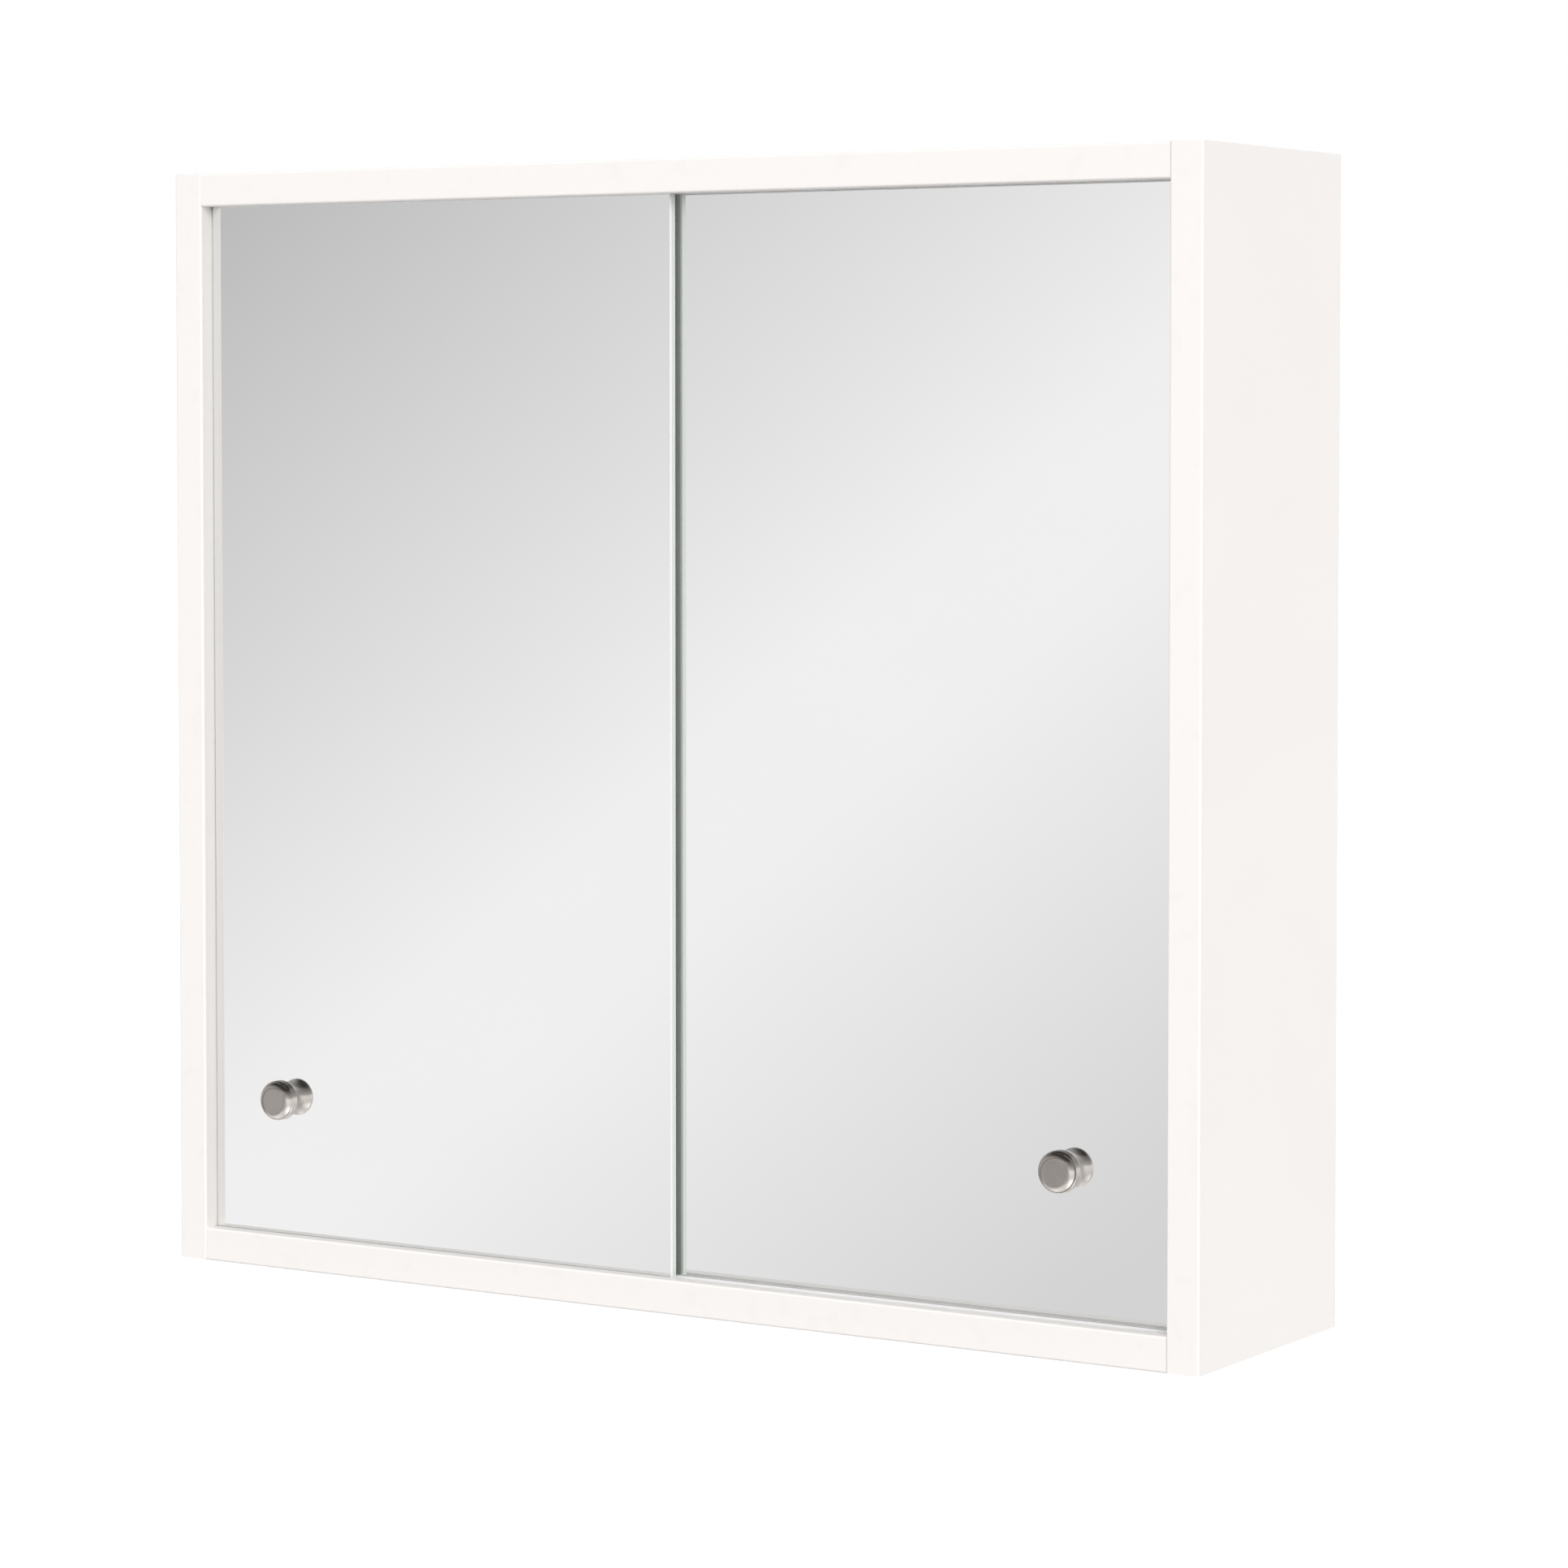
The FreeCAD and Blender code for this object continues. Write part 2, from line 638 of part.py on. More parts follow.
def add_dowel(body, depth, level):
    """One wooden dowel with chamfered ends, in the right side panel and the board beside it."""
    radius = size.dowel_diameter / 2
    tip_radius = radius - size.dowel_chamfer
    start = half_inner - dowel_reach
    end = start + size.dowel_length
    profile = new_sketch(body, "XY_Plane", y=depth, away=level)
    draw_outline(profile, (
        (start, ZERO),
        (end, ZERO),
        (end, tip_radius),
        (end - size.dowel_chamfer, radius),
        (start + size.dowel_chamfer, radius),
        (start, tip_radius),
    ))
    return add_turning(body, profile)


def make_carcass_dowels():
    """One dowel at each corner, between the two cam bolts."""
    body = new_body("carcass_dowels", y=front_y, z=bottom_z + size.cabinet_height / 2)
    dowel = add_dowel(body, dowel_depth, size.cabinet_height / 2 - board_middle)
    repeat(body, [dowel], mirror(body, "YZ_Plane"), mirror(body, "XY_Plane"))
    return body


def make_rail_dowels():
    """Two dowels at each end of the hanging rail."""
    body = new_body("rail_dowels", y=front_y, z=ceiling_z - lower_rail_dowel)
    dowel = add_dowel(body, rail_middle, ZERO)
    upper = row(body, "Z_Axis", lower_rail_dowel - upper_rail_dowel, 2)
    repeat(body, [dowel], upper, mirror(body, "YZ_Plane"))
    return body


def make_pane(label, left, depth):
    """A mirror pane with a ground arris round both faces."""
    body = new_body(label, left, front_y + depth, floor_z + pane_bottom)
    profile = new_sketch(body, "YZ_Plane")
    draw_outline(profile, rectangle(ZERO, ZERO, size.glass, pane_height))
    add_pad(body, profile, pane_width)
    tip, front = straight_edges(body, y=ZERO)
    tip, back = straight_edges(body, y=size.glass)
    grinding = body.newObject("PartDesign::Chamfer", "arris")
    grinding.Base = (tip, front + back)
    bind(grinding, "Size", size.arris)
    doc.recompute()
    return body


FACING_FRONT = Rotation(Vector(0, 0, 1), -90)


def make_knob_pad(label, x, depth):
    """A thin round bonding pad on the face of a pane."""
    body = new_body(label, x, front_y + depth, floor_z + size.knob_level, FACING_FRONT)
    profile = new_sketch(body, "YZ_Plane")
    draw_circles(profile, [(ZERO, ZERO)], size.knob_foot_diameter - size.pad_margin * 2)
    add_pad(body, profile, size.pad_thickness)
    return body


def make_knob(label, x, depth):
    """A turned knob: its foot on the bonding pad, a hollow waist and a flat head with a rounded rim."""
    body = new_body(label, x, front_y + depth - size.pad_thickness, floor_z + size.knob_level, FACING_FRONT)
    foot_radius = size.knob_foot_diameter / 2
    head_radius = size.knob_head_diameter / 2
    foot_end = size.knob_foot_thickness
    head_start = size.knob_length - size.knob_head_thickness
    head_back = (head_start, head_radius)
    waist = ((foot_end + head_start) / 2, size.knob_waist_diameter / 2)
    outline = (
        (ZERO, ZERO),
        (size.knob_length, ZERO),
        (size.knob_length, head_radius),
        head_back,
        (foot_end, foot_radius),
        (ZERO, foot_radius),
    )
    profile = new_sketch(body, "XY_Plane")
    draw_outline(profile, outline, (head_back, waist))
    add_turning(body, profile)
    for radius, level, rounding in (
        (head_radius, size.knob_length, size.knob_face_radius),
        (head_radius, head_start, size.knob_back_radius),
        (foot_radius, foot_end, size.knob_foot_radius),
    ):
        round_edges(body, ring_edges(body, radius, level), rounding)
    return body


def make_bumpers(label, wall_x, depth, rotation):
    """Two soft round bumpers in their seats in a side panel, where the channels of their pane end."""
    body = new_body(label, wall_x, front_y + depth + size.glass / 2, floor_z - bumper_drop, rotation)
    profile = new_sketch(body, "YZ_Plane", away=-size.bumper_seat)
    draw_circles(profile, [(ZERO, ZERO)], bumper_diameter)
    plug = add_pad(body, profile, size.bumper_seat + size.pane_side_gap - size.bumper_gap)
    repeat(body, [plug], row(body, "Z_Axis", bumper_spread, 2))
    return body


UPRIGHT = Rotation()
UPSIDE_DOWN = Rotation(Vector(0, 1, 0), 180)
TURNED_ROUND = Rotation(Vector(0, 0, 1), 180)

left_pane_x = size.pane_side_gap - half_inner
right_pane_x = -size.pane_overlap / 2
left_knob_x = left_pane_x + size.knob_inset
right_knob_x = right_pane_x + pane_width - size.knob_inset

left_side = make_side_panel()
pieces = [
    left_side,
    make_mirror_image(left_side, "right_side_panel"),
    make_level_panel("top_panel", ceiling_z, UPRIGHT, size.top_channel_depth),
    make_level_panel("bottom_panel", floor_z, UPSIDE_DOWN, size.bottom_channel_depth),
    make_back_panel(),
    make_hanging_rail(),
    make_track("top_track", ceiling_z, UPRIGHT, size.top_channel_depth),
    make_track("bottom_track", floor_z, UPSIDE_DOWN, size.bottom_channel_depth),
    make_shelf("lower_shelf", size.lower_shelf_level),
    make_shelf("upper_shelf", size.upper_shelf_level),
    make_shelf_pins("lower_shelf_pins", size.lower_shelf_level),
    make_shelf_pins("upper_shelf_pins", size.upper_shelf_level),
    make_cam_locks(),
    make_cam_bolts(),
    make_carcass_dowels(),
    make_rail_dowels(),
    make_pane("left_mirror_door", left_pane_x, front_pane_depth),
    make_pane("right_mirror_door", right_pane_x, rear_pane_depth),
    make_knob_pad("left_knob_pad", left_knob_x, front_pane_depth),
    make_knob_pad("right_knob_pad", right_knob_x, rear_pane_depth),
    make_knob("left_knob", left_knob_x, front_pane_depth),
    make_knob("right_knob", right_knob_x, rear_pane_depth),
    make_bumpers("left_door_bumpers", -half_inner, front_pane_depth, UPRIGHT),
    make_bumpers("right_door_bumpers", half_inner, rear_pane_depth, TURNED_ROUND),
]
doc.recompute()

for item in doc.Objects:
    if "Invalid" in item.State or "Error" in item.State:
        raise RuntimeError(f"{item.Label} failed to build: {item.State}")
for piece in pieces:
    if piece.Shape.isNull() or not piece.Shape.isValid():
        raise RuntimeError(f"{piece.Label} has no valid shape")

os.makedirs("parts", exist_ok=True)
for piece in pieces:
    piece.Shape.exportStep(f"parts/{piece.Label}.step")
    print(piece.Label, len(piece.Shape.Solids), "solids", round(piece.Shape.Volume), "mm3")
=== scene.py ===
import math

import bmesh
import bpy
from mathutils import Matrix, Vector


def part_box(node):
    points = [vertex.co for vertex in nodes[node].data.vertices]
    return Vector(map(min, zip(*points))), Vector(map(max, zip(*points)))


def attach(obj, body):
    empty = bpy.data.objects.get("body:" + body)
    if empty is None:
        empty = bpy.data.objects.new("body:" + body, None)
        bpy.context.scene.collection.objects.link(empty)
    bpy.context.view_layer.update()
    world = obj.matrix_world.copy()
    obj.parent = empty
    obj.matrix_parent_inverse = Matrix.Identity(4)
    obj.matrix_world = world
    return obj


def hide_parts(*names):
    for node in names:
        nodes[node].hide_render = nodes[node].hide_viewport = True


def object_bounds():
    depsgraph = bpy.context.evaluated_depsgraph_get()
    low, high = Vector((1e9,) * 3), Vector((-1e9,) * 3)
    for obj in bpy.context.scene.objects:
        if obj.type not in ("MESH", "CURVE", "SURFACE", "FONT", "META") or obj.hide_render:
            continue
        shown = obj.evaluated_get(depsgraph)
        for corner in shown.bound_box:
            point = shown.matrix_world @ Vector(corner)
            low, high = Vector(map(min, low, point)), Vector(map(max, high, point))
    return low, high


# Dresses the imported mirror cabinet, and makes its panes and small fastenings in full form
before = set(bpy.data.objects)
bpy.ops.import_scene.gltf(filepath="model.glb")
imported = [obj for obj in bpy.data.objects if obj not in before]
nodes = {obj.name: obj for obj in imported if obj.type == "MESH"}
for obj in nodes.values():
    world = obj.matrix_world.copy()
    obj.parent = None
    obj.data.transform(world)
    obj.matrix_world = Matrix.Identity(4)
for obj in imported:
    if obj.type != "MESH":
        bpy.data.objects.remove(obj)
cad_low, cad_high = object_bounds()

MM = 0.001


def rgba(red, green, blue):
    return (red, green, blue, 1.0)


def grey(level):
    return rgba(level, level, level)


# Photograph's camera, in the cabinet's own frame
PHOTO_SIDE = 1932
CAMERA_PLACE = Vector((1.15171, -1.86361, -0.06585))
CAMERA_TURN = math.radians(32.0276)
CAMERA_TILT = math.radians(2.5212)
CAMERA_FOCUS_PIXELS = 5924.2
CAMERA_SHIFT = -0.10
SENSOR = 36.0

# Studio: the floor, the room's even light, what the mirrors pass on of it, and the key lamp
FLOOR_SIDE = 40.0
FLOOR_COLOUR = grey(0.50)
FLOOR_GLOW = 0.64
ROOM_LIGHT = 0.78
MIRROR_LIGHT = 0.85
KEY_TURN = math.radians(36.0)
KEY_RISE = math.radians(24.0)
KEY_DISTANCE = 24.0
KEY_SIDE = 16.0
KEY_POWER = 3400.0

# What polished faces reflect: grey levels along a slanting sweep, changed again by height and side.
# Both are parts of a direction of length 1: a height of 1 is straight up, a side of 1 straight right.
# Each sweep level is a place along the sweep and the grey there.
SWEEP_SLANT = math.radians(49.6)
SWEEP_REACH = 1.0
SWEEP_LEVELS = ((-1.0, 0.60), (-0.55, 0.95), (-0.20, 0.565), (-0.145, 0.565), (0.0087, 1.0), (0.0348, 1.0),
                (0.145, 0.75), (0.20, 0.75), (0.50, 1.0), (1.0, 0.70))
CEILING_HEIGHTS = (0.35, 0.75)
CEILING_LEVEL = 0.12
GROUND_HEIGHTS = (-0.4, -0.75)
GROUND_LEVEL = 2.2
LIT_SIDES = (0.15, 0.6)
LIT_HEIGHTS = (0.05, 0.2)
LIT_LEVEL = 2.3

# A ray with fewer bounces than these has made none, or one at most
NO_BOUNCE = 0.5
ONE_BOUNCE = 1.5

# Most noise lies between these limits
NOISE_LIMITS = (0.3, 0.7)

# Foil on the boards, their banded front edges and bare rear edges
FOIL = (rgba(0.932, 0.899, 0.880), rgba(0.940, 0.909, 0.888))
FOIL_ROUGHNESS = (0.36, 0.44)
FOIL_PEEL_DEPTH = 0.012 * MM
EDGE_BAND = 2.0 * MM
EDGE_BAND_COLOUR = rgba(0.946, 0.916, 0.893)
BAND_SEAM = 0.18 * MM
BAND_SEAM_COLOUR = rgba(0.76, 0.72, 0.69)
BAND_SEAM_SHARE = 0.35
BAND_SEAM_DEPTH = -0.03 * MM
RUBBED_COLOUR = rgba(0.90, 0.855, 0.81)
RUBBED_SHARE = 0.4
RUBBED_LIMITS = (0.56, 0.74)
BARE_FACE = 0.05 * MM
CHIPS = (rgba(0.46, 0.31, 0.17), rgba(0.66, 0.50, 0.31))
CHIP_ROUGHNESS = 0.86
CHIP_DEPTH = 0.12 * MM

# Hardboard of the back panel
LACQUER = (rgba(0.87, 0.855, 0.835), rgba(0.89, 0.875, 0.855))
LACQUER_ROUGHNESS = 0.42
LACQUER_PEEL_DEPTH = 0.01 * MM
FIBRES = (rgba(0.235, 0.135, 0.07), rgba(0.36, 0.22, 0.12))
FIBRE_ROUGHNESS = 0.8
SCREEN_COLOUR = rgba(0.19, 0.105, 0.055)
SCREEN_SHARE = 0.25
SCREEN_LIMITS = (0.2, 1.0)
SCREEN_PITCH = 1.4 * MM
SCREEN_DEPTH = 0.12 * MM

# Plastic of the tracks
PLASTIC = (rgba(0.885, 0.875, 0.87), rgba(0.905, 0.895, 0.89))
PLASTIC_ROUGHNESS = (0.34, 0.46)
PLASTIC_GLOW = 0.6
PLASTIC_GLOW_TINT = (1.0, 1.0, 1.0)
PLASTIC_DEPTH = 1.5 * MM
DIE_LINE_DEPTH = 0.008 * MM

# Mirror panes
ARRIS = 0.6 * MM
PANE_CORNER = 1.0 * MM
CORNER_STEPS = 4
QUARTER_TURN = math.tau / 4
SILVER = (rgba(0.860, 0.863, 0.860), rgba(0.868, 0.871, 0.868))
GROUND_EDGE = (rgba(0.76, 0.81, 0.76), rgba(0.82, 0.86, 0.82))
GROUND_EDGE_ROUGHNESS = (0.16, 0.34)
GROUND_EDGE_DEPTH = 0.004 * MM
PAINT = (rgba(0.82, 0.85, 0.82), rgba(0.87, 0.90, 0.87))
PAINT_ROUGHNESS = (0.46, 0.6)
SPECKLE_COLOUR = rgba(0.90, 0.92, 0.90)
SPECKLE_SHARE = 0.25
SPECKLE_DEPTH = 0.01 * MM

# Knobs and their pads
NICKEL = (rgba(0.345, 0.318, 0.298), rgba(0.385, 0.356, 0.335))
NICKEL_ROUGHNESS = (0.15, 0.21)
TURNED_RING = 1.1 * MM
TURNED_RING_DEPTH = 0.002 * MM
# Pad colours: near-black, partly the bonding pad's own colour and partly painted shade where the knob meets
# the glass
FOAM_AND_PAINTED_SHADE = (rgba(0.040, 0.038, 0.036), rgba(0.085, 0.080, 0.076))
FOAM_ROUGHNESS = (0.7, 0.85)
FOAM_CELL_LIMITS = (0.0, 0.6)
FOAM_CELL_DEPTH = 0.03 * MM

# Cams, cam bolts and shelf pins; the clouds on the metal are a few times as wide as its grain
ZINC_PLATE = (rgba(0.58, 0.59, 0.61), rgba(0.68, 0.69, 0.71))
ZINC_PLATE_ROUGHNESS = (0.2, 0.32)
ZINC_PLATE_GRAIN = 700.0
CAST_ZINC = (rgba(0.48, 0.48, 0.49), rgba(0.58, 0.58, 0.59))
CAST_ZINC_ROUGHNESS = (0.34, 0.5)
CAST_ZINC_GRAIN = 420.0
METAL_CLOUD = 9.0
METAL_GRAIN_DEPTH = 0.01 * MM

# Wood of the dowels
BEECH = (rgba(0.60, 0.41, 0.24), rgba(0.75, 0.56, 0.37))
BEECH_ROUGHNESS = (0.55, 0.7)
BEECH_GRAIN_DEPTH = 0.03 * MM
FLECK_COLOUR = rgba(0.42, 0.26, 0.14)
FLECK_SHARE = 0.5
FLECK_LIMITS = (0.58, 0.7)

# Polymer of the bumpers
POLYMER = (rgba(0.80, 0.82, 0.81), rgba(0.87, 0.88, 0.87))
POLYMER_ROUGHNESS = (0.2, 0.38)
POLYMER_CLEARNESS = 0.6
POLYMER_IOR = 1.47
POLYMER_HAZE_DEPTH = 0.006 * MM

# Forms of the dowels, cam bolts, shelf pins and bumpers
DOWEL_FLUTES = 18
FLUTE_DEPTH = 0.3 * MM
DOWEL_CHAMFER = 1.0 * MM
ROUND_SIDES = 32
BOLT_HEAD = 3.0 * MM
BOLT_NECK = 3.5 * MM
BOLT_NECK_RADIUS = 2.25 * MM
BOLT_CHAMFER = 0.5 * MM
THREAD_LENGTH = 11.0 * MM
THREAD_RADIUS = 2.5 * MM
THREAD_ROOT = 1.9 * MM
THREAD_PITCH = 1.25 * MM
THREAD_TURNS = 8
THREAD_POINT = 0.6
PIN_RADIUS = 2.5 * MM
PIN_SHANK = 8.5 * MM
PIN_COLLAR = 1.0 * MM
PIN_CHAMFER = 0.4 * MM
COLLAR_EDGE = 0.25 * MM
BUMPER_RIM = 1.6 * MM
DOME_STEPS = 6
DOME_TIP = 0.12
CREASE = math.radians(32.0)
WELD = 0.001 * MM


def add(tree, kind, inputs=None, **settings):
    """Adds a node; an input given as a socket is linked, and any other is set as its value."""
    node = tree.nodes.new(kind)
    for name, value in settings.items():
        setattr(node, name, value)
    for key, value in (inputs or {}).items():
        if isinstance(value, bpy.types.NodeSocket):
            tree.links.new(value, node.inputs[key])
        else:
            node.inputs[key].default_value = value
    return node


def combine(tree, operation, first, second=0.0):
    """Works out one number from two."""
    return add(tree, "ShaderNodeMath", {0: first, 1: second}, operation=operation).outputs[0]


def remap(tree, value, limits, low, high):
    """Spreads a value from its two limits over low to high, and holds it there beyond."""
    start, end = limits
    inputs = {"Value": value, "From Min": start, "From Max": end, "To Min": low, "To Max": high}
    return add(tree, "ShaderNodeMapRange", inputs).outputs["Result"]


class Finish:
    """A material of one finish, with short ways to lay patterns over the piece's own place."""

    def __init__(self, name):
        self.material = bpy.data.materials.new(name)
        self.material.use_nodes = True
        self.tree = self.material.node_tree
        self.shader = self.tree.nodes["Principled BSDF"]
        self.place = self.add("ShaderNodeTexCoord").outputs["Object"]

    def add(self, kind, inputs=None, **settings):
        return add(self.tree, kind, inputs, **settings)

    def set(self, **values):
        """Sets what is the same all over the surface on the shader's own sockets."""
        for name, value in values.items():
            self.shader.inputs[name.replace("_", " ")].default_value = value

    def along(self, axis):
        return self.add("ShaderNodeSeparateXYZ", {0: self.place}).outputs[axis]

    def math(self, operation, first, second=0.0):
        return combine(self.tree, operation, first, second)

    def stretched(self, scale, centre=(0.0, 0.0, 0.0)):
        """The piece's own place, stretched about a centre."""
        shift = tuple(-middle * stretch for middle, stretch in zip(centre, scale))
        inputs = {"Vector": self.place, "Location": shift, "Scale": scale}
        return self.add("ShaderNodeMapping", inputs).outputs[0]

    def noise(self, scale, detail=2.0, place=None):
        """A cloudy pattern, with a scale of about this many clouds to a metre."""
        inputs = {"Vector": place or self.place, "Scale": scale, "Detail": detail}
        return self.add("ShaderNodeTexNoise", inputs).outputs["Fac"]

    def cells(self, scale):
        """A pattern of small cells, each with its own distance and colour."""
        return self.add("ShaderNodeTexVoronoi", {"Vector": self.place, "Scale": scale}).outputs

    def spread(self, pattern, low, high, limits=NOISE_LIMITS):
        """Spreads a pattern from its limits over low to high."""
        return remap(self.tree, pattern, limits, low, high)

    def mix(self, share, first, second):
        """Goes from the first number to the second by a share; sockets 2 and 3 take numbers."""
        return self.add("ShaderNodeMix", {0: share, 2: first, 3: second}).outputs[0]

    def blend(self, share, first, second):
        """Goes from the first colour to the second by a share; sockets 6 and 7 take colours."""
        return self.add("ShaderNodeMix", {0: share, 6: first, 7: second}, data_type="RGBA").outputs[2]

    def mottle(self, pattern, first, second):
        """Mottles two colours by a noise pattern."""
        return self.blend(self.spread(pattern, 0.0, 1.0), first, second)

    def relief(self, height, depth, over=None):
        """Raises the surface by a pattern, over another relief where one is given."""
        inputs = {"Height": height, "Distance": depth, "Strength": 1.0}
        if over is not None:
            inputs["Normal"] = over
        return self.add("ShaderNodeBump", inputs).outputs["Normal"]

    def done(self, colour, roughness=None, surface=None):
        """Wires the patterns to the shader and gives the finished material."""
        for name, source in (("Base Color", colour), ("Roughness", roughness), ("Normal", surface)):
            if source is not None:
                self.tree.links.new(source, self.shader.inputs[name])
        return self.material


def foil_board(name, front=None, rear=None):
    """Satin white foil on board, with a banded front edge and a bare chipboard rear edge if it has them."""
    finish = Finish(name)
    depth = finish.along("Y")
    colour = finish.mottle(finish.noise(7.0), *FOIL)
    roughness = finish.spread(finish.noise(24.0, 4.0), *FOIL_ROUGHNESS)
    surface = finish.relief(finish.noise(520.0), FOIL_PEEL_DEPTH)
    if front is not None:
        band_end = front + EDGE_BAND
        banded = finish.math("LESS_THAN", depth, band_end)
        colour = finish.blend(banded, colour, EDGE_BAND_COLOUR)
        seam_off = finish.math("ABSOLUTE", finish.math("SUBTRACT", depth, band_end))
        seam = finish.spread(seam_off, 1.0, 0.0, (0.0, BAND_SEAM))
        colour = finish.blend(finish.math("MULTIPLY", seam, BAND_SEAM_SHARE), colour, BAND_SEAM_COLOUR)
        rubbed = finish.spread(finish.noise(85.0, 5.0), 0.0, RUBBED_SHARE, RUBBED_LIMITS)
        colour = finish.blend(finish.math("MULTIPLY", rubbed, banded), colour, RUBBED_COLOUR)
        surface = finish.relief(seam, BAND_SEAM_DEPTH, surface)
    if rear is not None:
        bare = finish.math("GREATER_THAN", depth, rear - BARE_FACE)
        flakes = finish.cells(420.0)["Color"]
        flake_tone = finish.add("ShaderNodeSeparateColor", {0: flakes}).outputs[0]
        colour = finish.blend(bare, colour, finish.blend(flake_tone, *CHIPS))
        roughness = finish.mix(bare, roughness, CHIP_ROUGHNESS)
        surface = finish.relief(finish.math("MULTIPLY", flake_tone, bare), CHIP_DEPTH, surface)
    return finish.done(colour, roughness, surface)


def hardboard(name, rear):
    """Hardboard with a white lacquered inner face and a bare rear face that shows the press screen."""
    finish = Finish(name)
    bare = finish.math("GREATER_THAN", finish.along("Y"), rear - BARE_FACE)
    lacquer = finish.mottle(finish.noise(11.0), *LACQUER)
    fibres = finish.mottle(finish.noise(260.0, 6.0, finish.stretched((1.0, 1.0, 2.2))), *FIBRES)
    wires = [finish.math("MULTIPLY", finish.along(axis), math.tau / SCREEN_PITCH) for axis in "XZ"]
    weave = finish.math("MAXIMUM", *(finish.math("SINE", wire) for wire in wires))
    screen = finish.spread(weave, 0.0, 1.0, SCREEN_LIMITS)
    fibres = finish.blend(finish.math("MULTIPLY", screen, SCREEN_SHARE), fibres, SCREEN_COLOUR)
    colour = finish.blend(bare, lacquer, fibres)
    roughness = finish.mix(bare, LACQUER_ROUGHNESS, FIBRE_ROUGHNESS)
    peel = finish.relief(finish.noise(600.0), LACQUER_PEEL_DEPTH)
    surface = finish.relief(finish.math("MULTIPLY", screen, bare), SCREEN_DEPTH, peel)
    return finish.done(colour, roughness, surface)


def track_plastic(name):
    """White plastic drawn through a die, with fine lines along its length."""
    finish = Finish(name)
    finish.set(Subsurface_Weight=PLASTIC_GLOW, Subsurface_Radius=PLASTIC_GLOW_TINT,
               Subsurface_Scale=PLASTIC_DEPTH)
    die_lines = finish.noise(1.0, 3.0, finish.stretched((3.0, 2600.0, 2600.0)))
    colour = finish.mottle(finish.noise(30.0), *PLASTIC)
    roughness = finish.spread(die_lines, *PLASTIC_ROUGHNESS)
    return finish.done(colour, roughness, finish.relief(die_lines, DIE_LINE_DEPTH))


def silvering(name):
    """The mirror's face: silver behind clear glass, with the faintest haze of wiping."""
    finish = Finish(name)
    finish.set(Metallic=1.0, Roughness=0.0)
    haze = finish.noise(5.0, 5.0, finish.stretched((1.0, 1.0, 2.4)))
    return finish.done(finish.mottle(haze, *SILVER))


def ground_glass(name):
    """The pane's ground edge: grey-green, with a grain that runs along the edge."""
    finish = Finish(name)
    grain = finish.noise(1.0, 4.0, finish.stretched((900.0, 5200.0, 900.0)))
    colour = finish.mottle(grain, *GROUND_EDGE)
    roughness = finish.spread(grain, *GROUND_EDGE_ROUGHNESS)
    return finish.done(colour, roughness, finish.relief(grain, GROUND_EDGE_DEPTH))


def backing_paint(name):
    """Pale grey-green paint that guards the silver on the back of a pane."""
    finish = Finish(name)
    speckle = finish.noise(1100.0, 3.0)
    flow = finish.noise(16.0, 3.0, finish.stretched((0.3, 1.0, 1.6)))
    spots = finish.spread(speckle, 0.0, SPECKLE_SHARE)
    colour = finish.blend(spots, finish.mottle(flow, *PAINT), SPECKLE_COLOUR)
    roughness = finish.spread(speckle, *PAINT_ROUGHNESS)
    return finish.done(colour, roughness, finish.relief(speckle, SPECKLE_DEPTH))


def turned_nickel(name, axis_x, axis_z):
    """Satin nickel plate over a turned knob, with faint rings round the knob's axis."""
    finish = Finish(name)
    finish.set(Metallic=1.0)
    flat = finish.stretched((1.0, 0.0, 1.0), (axis_x, 0.0, axis_z))
    radius = finish.add("ShaderNodeVectorMath", {0: flat}, operation="LENGTH").outputs["Value"]
    rings = finish.math("SINE", finish.math("MULTIPLY", radius, math.tau / TURNED_RING))
    uneven = finish.noise(160.0, 4.0)
    colour = finish.mottle(uneven, *NICKEL)
    roughness = finish.spread(uneven, *NICKEL_ROUGHNESS)
    return finish.done(colour, roughness, finish.relief(rings, TURNED_RING_DEPTH))


def plated_metal(name, colours, shine, grain_scale):
    """Plated or cast metal with a fine uneven grain."""
    finish = Finish(name)
    finish.set(Metallic=1.0)
    grain = finish.noise(grain_scale, 4.0)
    colour = finish.mottle(finish.noise(grain_scale / METAL_CLOUD, 3.0), *colours)
    return finish.done(colour, finish.spread(grain, *shine), finish.relief(grain, METAL_GRAIN_DEPTH))


def beech(name):
    """Plain beech with its short flecks along the dowel."""
    finish = Finish(name)
    grain = finish.noise(1.0, 5.0, finish.stretched((45.0, 700.0, 700.0)))
    flecks = finish.noise(1.0, 2.0, finish.stretched((300.0, 2400.0, 2400.0)))
    fleck_share = finish.spread(flecks, 0.0, FLECK_SHARE, FLECK_LIMITS)
    colour = finish.blend(fleck_share, finish.mottle(grain, *BEECH), FLECK_COLOUR)
    roughness = finish.spread(grain, *BEECH_ROUGHNESS)
    return finish.done(colour, roughness, finish.relief(grain, BEECH_GRAIN_DEPTH))


def foam_and_painted_shade(name):
    """Double-sided bonding pad with fine cells, near-black: partly its own colour, partly painted shade at
    the knob's foot.
    """
    finish = Finish(name)
    cells = finish.cells(3200.0)["Distance"]
    roughness = finish.spread(cells, *FOAM_ROUGHNESS, FOAM_CELL_LIMITS)
    return finish.done(finish.blend(cells, *FOAM_AND_PAINTED_SHADE), roughness, finish.relief(cells, FOAM_CELL_DEPTH))


def clear_bumper(name):
    """Soft clear polymer with a hazy skin."""
    finish = Finish(name)
    finish.set(Transmission_Weight=POLYMER_CLEARNESS, IOR=POLYMER_IOR)
    haze = finish.noise(900.0, 3.0)
    colour = finish.mottle(haze, *POLYMER)
    roughness = finish.spread(haze, *POLYMER_ROUGHNESS)
    return finish.done(colour, roughness, finish.relief(haze, POLYMER_HAZE_DEPTH))


